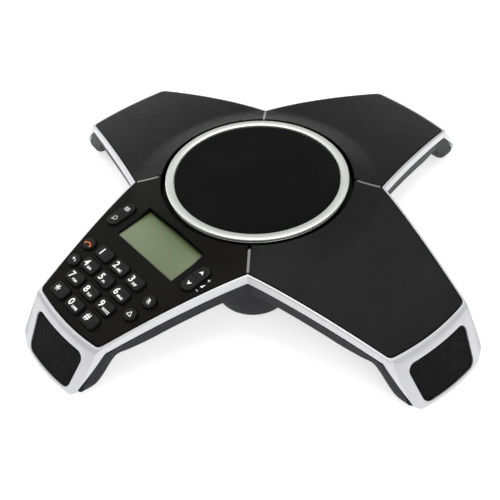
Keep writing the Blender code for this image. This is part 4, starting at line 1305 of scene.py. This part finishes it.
# ---- operators ----
class SPEAKERPHONE_OT_stage(bpy.types.Operator):
    """Floor, studio light and camera"""

    bl_idname = "speakerphone.stage"
    bl_label = "Stage"

    def execute(self, context):
        scene = context.scene
        scene.view_settings.view_transform = "Standard"
        scene.view_settings.look = "None"
        world = bpy.data.worlds.new("studio")
        world.use_nodes = True
        sky = world.node_tree.nodes["Background"]
        sky.inputs["Color"].default_value = (1, 1, 1, 1)
        sky.inputs["Strength"].default_value = 0.62
        scene.world = world

        corners = ((-1, -1), (1, -1), (1, 1), (-1, 1))
        ground = [(x * FLOOR_HALF, y * FLOOR_HALF, FLOOR_Z) for x, y in corners]
        mesh = bpy.data.meshes.new("floor")
        mesh.from_pydata(ground, [], [(0, 1, 2, 3)])
        floor = bpy.data.objects.new("floor", mesh)
        scene.collection.objects.link(floor)
        tone = (0.93, 0.93, 0.93)
        paint = grained("floor_paint", tone, 0.75, 0.02, 300.0, drift=0.004)
        lit = paint.node_tree.nodes["Principled BSDF"]
        lit.inputs["Emission Color"].default_value = (1, 1, 1, 1)
        lit.inputs["Emission Strength"].default_value = 0.6
        mesh.materials.append(paint)

        for name, at, size, power in LAMPS:
            light = bpy.data.lights.new(name, "AREA")
            light.size, light.energy = size, power
            lamp = bpy.data.objects.new(name, light)
            scene.collection.objects.link(lamp)
            lamp.location = at
            lamp.rotation_euler = (-Vector(at)).to_track_quat("-Z", "Y").to_euler()

        azimuth, elevation, roll = (math.radians(a) for a in CAMERA_TURN)
        back = Vector((
            math.sin(azimuth) * math.cos(elevation),
            -math.cos(azimuth) * math.cos(elevation),
            math.sin(elevation),
        ))
        right = Vector((math.cos(azimuth), math.sin(azimuth), 0))
        up = back.cross(right)
        across = right * math.cos(roll) + up * math.sin(roll)
        rise = up * math.cos(roll) - right * math.sin(roll)
        data = bpy.data.cameras.new("camera")
        data.lens, data.sensor_width = LENS, SENSOR
        data.clip_start, data.clip_end = 0.02, 20
        camera = bpy.data.objects.new("camera", data)
        scene.collection.objects.link(camera)
        turn = Matrix((across, rise, back)).transposed().to_4x4()
        camera.matrix_world = Matrix.Translation(CAMERA_AT) @ turn
        scene.camera = camera
        return {"FINISHED"}


class SPEAKERPHONE_OT_frame(bpy.types.Operator):
    """Silver frame round the four arms, with the microphone windows cut in its toes"""

    bl_idname = "speakerphone.frame"
    bl_label = "Silver Frame"

    def execute(self, context):
        windows = [cut(window_solid("window", 0.0, -2.0, 12.0), spin(k)) for k in range(4)]
        mesh = boolean(frame_band(), windows)
        outs = [spin(k).to_3x3() @ FACE_OUT for k in range(4)]
        middles = [spin(k).to_3x3() @ on_face(0, 20.0, 0.0) for k in range(4)]

        def at_window(p, angle):
            if angle < 40 or p.z < 4:
                return False
            return any(
                abs((p - centre).dot(out)) < 3.2 and (p - centre).length < 30
                for out, centre in zip(outs, middles)
            )

        bevel_edges(mesh, at_window, 0.7, 4)
        smooth(mesh, 38)
        tone = finishes().silver
        finish = grained(
            "silver_paint_finish", tone, 0.34, 0.010, 3200.0, 0.55, dust=0.02, drift=0.02,
            marks=0.12, scuff=(0.22, 0.22, 0.23),
        )
        piece("upper_frame_detail", mesh, finish, nodes=["upper_frame"])
        # Painted shade: the frame's inward faces in the gap beside the panels are painted near
        # black.
        shade = grained("gap_painted_shade", (0.004, 0.004, 0.004), 0.8, 0.02, 2000.0, specular=0.1)
        mesh.materials.append(shade)
        for face in mesh.polygons:
            p, n = face.center / MM, face.normal
            u = max(abs(p.x), abs(p.y))
            inwards = Vector((p.x, p.y, 0)).normalized().dot(n) < -0.35
            if inwards and p.z > deck_z(u) - 5.0 and abs(n.z) < 0.6:
                face.material_index = 1
        return {"FINISHED"}


class SPEAKERPHONE_OT_deck(bpy.types.Operator):
    """Four deck panels and the light strips in the seams between them"""

    bl_idname = "speakerphone.deck"
    bl_label = "Deck"

    def execute(self, context):
        tone = finishes().deck
        finish = grained(
            "charcoal_finish", tone, 0.42, 0.025, 2600.0, dust=0.006, drift=0.06, marks=0.10,
            specular=0.11,
        )
        plain = panel_mesh("deck_panel")
        boss = boss_mesh()
        for k, name in enumerate(("panel_right", "panel_rear", "panel_left")):
            mesh = joined(name + "_detail", [(plain, spin(k)), (boss, spin(k))])
            smooth(mesh, 32)
            piece(name + "_detail", mesh, finish, nodes=[name])
        mesh = plain.copy()
        mesh.transform(spin(3))
        mesh = boolean(mesh, keypad_holes())

        def at_hole(p, angle):
            inside = math.hypot(p.x, p.y) > WELL_R + WELL_CLEAR
            side = half_width(-p.y) - abs(p.x) > 2 and -p.y < TIP_U - 1.5
            return inside and side and angle > 50 and p.z > panel_level(p.x, p.y, -p.y) - TOP_BAND

        bevel_edges(mesh, at_hole, 0.32, 3)
        mesh = joined("keypad_panel_detail", [(mesh, None), (boss, spin(3))])
        smooth(mesh, 32)
        finish = grained(
            "keypad_finish", finishes().keypad, 0.42, 0.025, 2600.0, dust=0.004, drift=0.06,
            marks=0.10, specular=0.05,
        )
        piece("keypad_panel_detail", mesh, finish, nodes=["keypad_panel"])

        tone = finishes().strip
        glow = grained("light_guide_finish", tone, 0.30, 0.01, 1500.0, drift=0.05, coat=0.3)
        profile = [(67.0, 50.0), (67.0, 51.6), (67.25, 52.5), (67.9, 53.35), (STRIP_R0, STRIP_TOP)]
        radii = [71 + 2 * i for i in range(7)] + [STRIP_R1]
        profile += [(r, STRIP_TOP) for r in radii] + [(r, STRIP_LOW) for r in reversed(radii)]
        profile += [(69.6, STRIP_LOW), (STRIP_R0, 51.2), (STRIP_R0, 50.0)]
        outline = [Vector((r, z + deck_rise(max(r, STRIP_R0), 0))) for r, z in profile]
        n = len(outline)
        verts = [(p.x, s * STRIP_W / 2, p.y) for s in (-1, 1) for p in outline]
        faces = [tuple(range(n)), tuple(range(n, 2 * n))]
        faces += [(i, (i + 1) % n, n + (i + 1) % n, n + i) for i in range(n)]
        bar = mesh_of("light_strip", verts, faces)

        def at_top(p, angle):
            return angle > 60 and p.z > 51.75 + deck_rise(max(p.x, STRIP_R0), 0)

        smooth(bevel_edges(bar, at_top, 0.3, 3), 40)
        for k in range(4):
            name, turn = f"light_strip_{k + 1}", spin(k + 0.5)
            piece(name + "_detail", bar.copy(), glow, nodes=[name], matrix=turn)
        return {"FINISHED"}


class SPEAKERPHONE_OT_shell(bpy.types.Operator):
    """Lower shell with its pod, the rubber pads and the case screws"""

    bl_idname = "speakerphone.shell"
    bl_label = "Lower Shell"

    def execute(self, context):
        tone = finishes().shell
        finish = grained(
            "graphite_finish", tone, 0.52, 0.05, 1700.0, dust=0.01, drift=0.07, marks=0.08,
            scuff=(0.03, 0.03, 0.034), specular=0.2,
        )
        made = shell_mesh()
        piece("bottom_shell_detail", made, finish, nodes=["bottom_shell"])

        rubber = grained("rubber_finish", (0.012, 0.012, 0.012), 0.85, 0.08, 1400.0, marks=0.05)
        levels = ((7.0, 33.0, 1.0, 0.0), (7.6, 33.6, 1.2, 0.25))
        levels += ((8.0, 34.0, 1.3, 0.7), (8.0, 34.0, 1.3, 2.6))
        pad = stack("pad", [(rounded(w, h, r), z) for w, h, r, z in levels])
        rows = range(-14, 15, 4)
        grooves = [cut(block("groove", (-5, y - 0.5, -0.5), (5, y + 0.5, 0.35))) for y in rows]
        pad = smooth(boolean(pad, grooves), 30)
        for k, arm in enumerate(ARMS):
            name, place = f"rubber_foot_{arm}", spin(k) @ move(FOOT_U, 0, 0)
            piece(name + "_detail", pad.copy(), rubber, nodes=[name], matrix=place)

        steel = turned_metal("screw_steel", (0.42, 0.42, 0.43), 0.28)
        profile = [(0, 12.6), (0.9, 12.6), (THREAD_R, 12.0)]
        for i in range(14):
            z = 11.6 - i * THREAD_STEP
            profile += [(THREAD_R, z), (CORE_R, z - THREAD_STEP / 2)]
        profile += [(THREAD_R, 0.0), (2.9, 0.0), (2.9, -1.4), (2.7, -1.8), (2.2, -2.1), (0, -2.2)]
        shank = turned("screw", profile, 48)
        slot = block("slot", (-1.6, -0.35, -3.0), (1.6, 0.35, -1.1))
        shank = smooth(boolean(shank, [cut(slot, spin(k)) for k in (0, 1)]), 35)
        for k in range(4):
            name = f"case_screw_{k + 1}"
            place = spin(k) @ move(SCREW_U, SCREW_V, deck_z(SCREW_U) - ARM_DEPTH + 0.55)
            piece(name + "_detail", shank.copy(), steel, nodes=[name], matrix=place)
        return {"FINISHED"}


class SPEAKERPHONE_OT_speaker(bpy.types.Operator):
    """Ring, stretched cloth and the loudspeaker under it"""

    bl_idname = "speakerphone.speaker"
    bl_label = "Speaker"

    def execute(self, context):
        steps = sizes().turns
        silver = turned_metal("ring_finish", finishes().ring, 0.26, 0.75)
        top, r = RING_TOP, RING_R
        dark = grained("grille_plastic_and_neck_shade", (0.006, 0.006, 0.006), 0.6, 0.03, 2200.0, specular=0.2)
        # Painted shade: a near-black sleeve covers the ring's silver neck below the rim.
        neck = [(61.0, 59.3), (61.05, 58.8), (61.05, 52.3), (60.2, 52.3), (60.2, 59.3)]
        piece("ring_neck_painted_shade", turned("ring_neck_painted_shade", neck, steps), dark)
        profile = [
            (57.2, top - 0.35), (57.28, top - 0.12), (57.5, top), (62.4, top), (62.65, top - 0.06),
            (62.84, top - 0.25), (r, top - 0.5), (r, top - 1.3), (62.7, top - 1.6), (61.4, 59.4),
            (60.1, 59.35), (60.1, 52.35), (54.5, 52.35), (54.5, 58.9), (57.2, 58.9),
        ]
        mesh = turned("speaker_ring_detail", profile, steps)
        piece("speaker_ring_detail", mesh, silver, nodes=["speaker_ring"])

        lip = [(61.1, 58.9), (62.2, 58.85), (62.4, 58.65), (62.2, 58.45), (61.1, 58.4)]
        seam = turned("ring_seam", lip, steps)
        piece("ring_lower_line", seam, silver)

        reach, high = GRILLE_HIGH.x, GRILLE_HIGH.z
        rows = [(0, high)]
        rows += [(reach * i / 24 * 0.985, high - 0.25 * (i / 24) ** 6) for i in range(1, 25)]
        rows += [(reach - 0.25, high - 0.4), (reach, high - 0.8), (reach - 0.2, high - 1.0)]
        rows += [(reach - 0.9, high - 0.75), (0, high - 0.5)]
        cloth = turned("speaker_cloth", rows, steps)
        finish = cloth_finish("speaker_cloth_finish", finishes().cloth, sizes().thread)
        cover = piece("speaker_cloth", cloth, finish, nodes=["speaker_grille"])
        holes = [(0, high - 0.55), (55.6, high - 0.8), (55.9, 59.2), (0, 59.2)]
        piece("grille_plate", turned("grille_plate", holes, 96), dark)

        paper = grained("cone_paper_finish", (0.02, 0.02, 0.019), 0.9, 0.2, 700.0, drift=0.15)
        repaint(["speaker_cone"], paper)
        black = grained("basket_paint", (0.006, 0.006, 0.006), 0.7, 0.04, 1500.0, specular=0.15)
        repaint(["speaker_basket"], black)
        ferrite = grained("ferrite_finish", (0.04, 0.04, 0.045), 0.42, 0.05, 900.0, 0.4)
        repaint(["speaker_magnet"], ferrite)
        repaint(["speaker_gasket"], MADE["rubber_finish"])
        return {"FINISHED"}


class SPEAKERPHONE_OT_keys(bpy.types.Operator):
    """Twelve digit keys and four round keys with their print"""

    bl_idname = "speakerphone.keys"
    bl_label = "Keys"

    def execute(self, context):
        size = sizes()
        cap = grained(
            "key_finish", finishes().keys, 0.42, 0.03, 2400.0, dust=0.004, marks=0.14, specular=0.14
        )
        white = grained("print_finish", finishes().print_white, 0.5, 0.01, 3000.0, drift=0.03)
        orange = grained("hook_print_finish", finishes().hook, 0.5, 0.01, 3000.0, drift=0.03)
        edge = size.cap_edge / MM
        square = cap_mesh("digit_key", KEY_W, KEY_H, 2.6, KEY_UP, 0.5, edge)
        side = 2 * ROUND_R
        disc = cap_mesh("round_key", side, side, ROUND_R - 0.01, KEY_UP, 0.3, edge, 12)
        digit, letter = size.digit / MM, size.letter / MM
        for name, (x, u) in DIGIT_KEYS.items():
            if abs(sum(box_mm(name), Vector()).x / 2 - x) > 0.5:
                raise RuntimeError(f"{name} isn't where the keypad expects it")
            place, body = seat(x, u), name + "_body"
            piece(name + "_cap", square.copy(), cap, body, [name], place)
            label = {"key_star": "*", "key_hash": "#"}.get(name, name[4:])
            mark = star_mark(digit) if label == "*" else lettering(label, digit, 0.03)
            shift = -3.2 if label in LETTERS else -2.4
            parts = [(mark, shift, 0.1, KEY_INK)]
            if label in LETTERS:
                small = lettering(LETTERS[label], letter, 0.055)
                wide = max(v.co.x for v in small.vertices) / MM
                parts.append((small, -0.4 + wide, -1.7, KEY_INK))
            print_piece(name + "_print", parts, white, body, place)
        marks = {
            "key_hook": (handset_mark(), orange),
            "key_flash": (return_mark(), white),
            "key_mute": (mute_mark(), white),
            "key_conference": (triangle_mark(), white),
        }
        for name, (x, u) in ROUND_KEYS.items():
            place, body = seat(x, u), name + "_body"
            piece(name + "_cap", disc.copy(), cap, body, [name], place)
            mark, ink = marks[name]
            print_piece(name + "_print", [(mark, 0, 0, KEY_INK)], ink, body, place)
        return {"FINISHED"}


class SPEAKERPHONE_OT_rockers(bpy.types.Operator):
    """Two rocker keys beside the display and the print next to them"""

    bl_idname = "speakerphone.rockers"
    bl_label = "Rockers"

    def execute(self, context):
        cap = MADE["key_finish"]
        white = MADE["print_finish"]
        shape = cap_mesh("rocker", PILL_W, PILL_L, PILL_W / 2 - 0.01, ROCKER_UP, -0.5, 0.7, 12)
        shape = boolean(shape, [cut(block("groove", (-6, -0.25, 1.35), (6, 0.25, 3.0)))])
        axle = rod("axle", AXLE_R, -AXLE_REACH, AXLE_REACH, 24)
        lying = move(0, 0, -AXLE_DEPTH) @ Matrix.Rotation(QUARTER, 4, "Y")
        marks = {
            "rocker_menu": (book_mark(), bubble_mark()),
            "rocker_volume": (wedge_mark(True), wedge_mark(False)),
        }
        for name, (x, u) in ROCKERS.items():
            place, body = seat(x, u), name + "_body"
            mesh = joined(name + "_cap", [(shape, None), (axle, lying)])
            smooth(mesh, 45)
            piece(name + "_cap", mesh, cap, body, [name], place)
            upper, lower = marks[name]
            parts = [(upper, 0, 5.2, ROCKER_UP), (lower, 0, -5.2, ROCKER_UP)]
            print_piece(name + "_print", parts, white, body, place)
        place = seat(47.6, PILL_U)
        flat = ([(-0.9, 0), (0.9, 0)], 0.35)
        plus, minus = drawn("plus", flat, ([(0, -0.9), (0, 0.9)], 0.35)), stroke(*flat)
        ramp_mark = plate([(-0.9, -1.7), (0.9, -1.7), (0.9, 1.7)])
        parts = [(plus, 0, 5.0, 0.0), (ramp_mark, 0, 0, 0.0), (minus, 0, -5.0, 0.0)]
        print_piece("volume_print", parts, white, BASE, place)
        return {"FINISHED"}


class SPEAKERPHONE_OT_display(bpy.types.Operator):
    """Display lens with painted shade along its edges, and the module behind it"""

    bl_idname = "speakerphone.display"
    bl_label = "Display"

    def execute(self, context):
        w, h = 2 * LCD_HALF - 2 * GAP, LCD_U1 - LCD_U0 - 2 * GAP
        steps = ((0, 0.8, -2.2), (0, 0.8, -1.2), (0.2, 0.7, -1.05), (0.5, 0.6, -1.0))
        layers = [(rounded(w - less, h - less, r), z) for less, r, z in steps]
        mesh = smooth(stack("lcd_window_detail", layers), 40)
        lens = display_finish("display_finish", finishes().display)
        place = display_seat()
        piece("lcd_window_detail", mesh, lens, BASE, ["lcd_window"], place)
        module = grained("display_back_finish", (0.09, 0.11, 0.07), 0.4, 0.02, 1200.0)
        repaint(["lcd_module"], module)
        return {"FINISHED"}


class SPEAKERPHONE_OT_microphones(bpy.types.Operator):
    """Foam in the four toe windows and the capsules behind it"""

    bl_idname = "speakerphone.microphones"
    bl_label = "Microphones"

    def execute(self, context):
        finish = foam_finish("mic_foam_finish", finishes().foam)
        lines = [MIC_W0 + 1.5 * i for i in range(1, 20)]
        pad = smooth(window_solid("foam", -GAP, 0.7, 2.9, 5.2, lines, 0.45), 60)
        for k, arm in enumerate(ARMS):
            name = f"mic_grille_{arm}"
            made = piece(name + "_foam", pad.copy(), finish, BASE, [name], spin(k))
        steel = turned_metal("capsule_steel", (0.45, 0.45, 0.46), 0.3)
        repaint([f"mic_capsule_{arm}" for arm in ARMS], steel)
        return {"FINISHED"}


class SPEAKERPHONE_OT_sockets(bpy.types.Operator):
    """Socket bodies in the pod and their metal contacts"""

    bl_idname = "speakerphone.sockets"
    bl_label = "Sockets"

    def execute(self, context):
        dark = grained("socket_finish", (0.010, 0.010, 0.010), 0.38, 0.02, 2000.0)
        repaint(list(PORTS), dark)
        gold = grained("contact_gold", (0.75, 0.52, 0.18), 0.25, 0.01, 2500.0, 1.0)
        steel = grained("contact_steel", (0.55, 0.55, 0.56), 0.25, 0.01, 2500.0, 1.0)
        wires = []
        for i in range(6):
            x = PORTS["line_jack"][0] - 2.55 + 1.02 * i
            wires.append((block("wire", (x - 0.22, 53.7, 13.25), (x + 0.22, 62.5, 13.6)), None))
        piece("line_contacts", joined("line_contacts", wires), gold)
        outer, inner = rounded(8.5, 8.1, 0.5), rounded(7.9, 7.5, 0.4)
        hollow = stack("hollow", [(inner, 0.4), (inner, 7.0)])
        shield = boolean(stack("usb_shield", [(outer, 0.0), (outer, 5.6)]), [cut(hollow)])
        face_y = box_mm("usb_port")[1].y - 0.1
        place = move(0, face_y, (USB_LOW + USB_HIGH) / 2) @ Matrix.Rotation(QUARTER, 4, "X")
        piece("usb_shield", smooth(shield, 40), steel, matrix=place)
        return {"FINISHED"}


class SPEAKERPHONE_OT_electronics(bpy.types.Operator):
    """Circuit boards and the keypad mat"""

    bl_idname = "speakerphone.electronics"
    bl_label = "Electronics"

    def execute(self, context):
        laminate = board_finish("laminate_finish", (0.015, 0.09, 0.035))
        repaint(["main_board", "keypad_board"], laminate)
        mat = grained("silicone_finish", (0.22, 0.22, 0.22), 0.7, 0.05, 1100.0, drift=0.1)
        repaint(["keypad_membrane"], mat)
        return {"FINISHED"}


OPERATORS = (
    SPEAKERPHONE_OT_stage,
    SPEAKERPHONE_OT_frame,
    SPEAKERPHONE_OT_deck,
    SPEAKERPHONE_OT_shell,
    SPEAKERPHONE_OT_speaker,
    SPEAKERPHONE_OT_keys,
    SPEAKERPHONE_OT_rockers,
    SPEAKERPHONE_OT_display,
    SPEAKERPHONE_OT_microphones,
    SPEAKERPHONE_OT_sockets,
    SPEAKERPHONE_OT_electronics,
)


class SPEAKERPHONE_PT_panel(bpy.types.Panel):
    """Settings and pieces of the speakerphone"""

    bl_label = "Conference Speakerphone"
    bl_space_type = "VIEW_3D"
    bl_region_type = "UI"
    bl_category = "Speakerphone"

    def draw(self, context):
        for holder in (context.scene.speakerphone_finish, context.scene.speakerphone_sizes):
            column = self.layout.column(align=True)
            for key in holder.__annotations__:
                column.prop(holder, key)
        for operator in OPERATORS:
            self.layout.operator(operator.bl_idname)


CLASSES = (SpeakerphoneFinish, SpeakerphoneSizes, *OPERATORS, SPEAKERPHONE_PT_panel)


def register():
    for item in CLASSES:
        bpy.utils.register_class(item)
    bpy.types.Scene.speakerphone_finish = PointerProperty(type=SpeakerphoneFinish)
    bpy.types.Scene.speakerphone_sizes = PointerProperty(type=SpeakerphoneSizes)


def unregister():
    del bpy.types.Scene.speakerphone_sizes
    del bpy.types.Scene.speakerphone_finish
    for item in reversed(CLASSES):
        bpy.utils.unregister_class(item)


def main():
    register()
    for operator in OPERATORS:
        family, action = operator.bl_idname.split(".")
        if getattr(getattr(bpy.ops, family), action)() != {"FINISHED"}:
            raise RuntimeError(f"{operator.bl_label} wasn't finished")


if __name__ == "__main__":
    main()
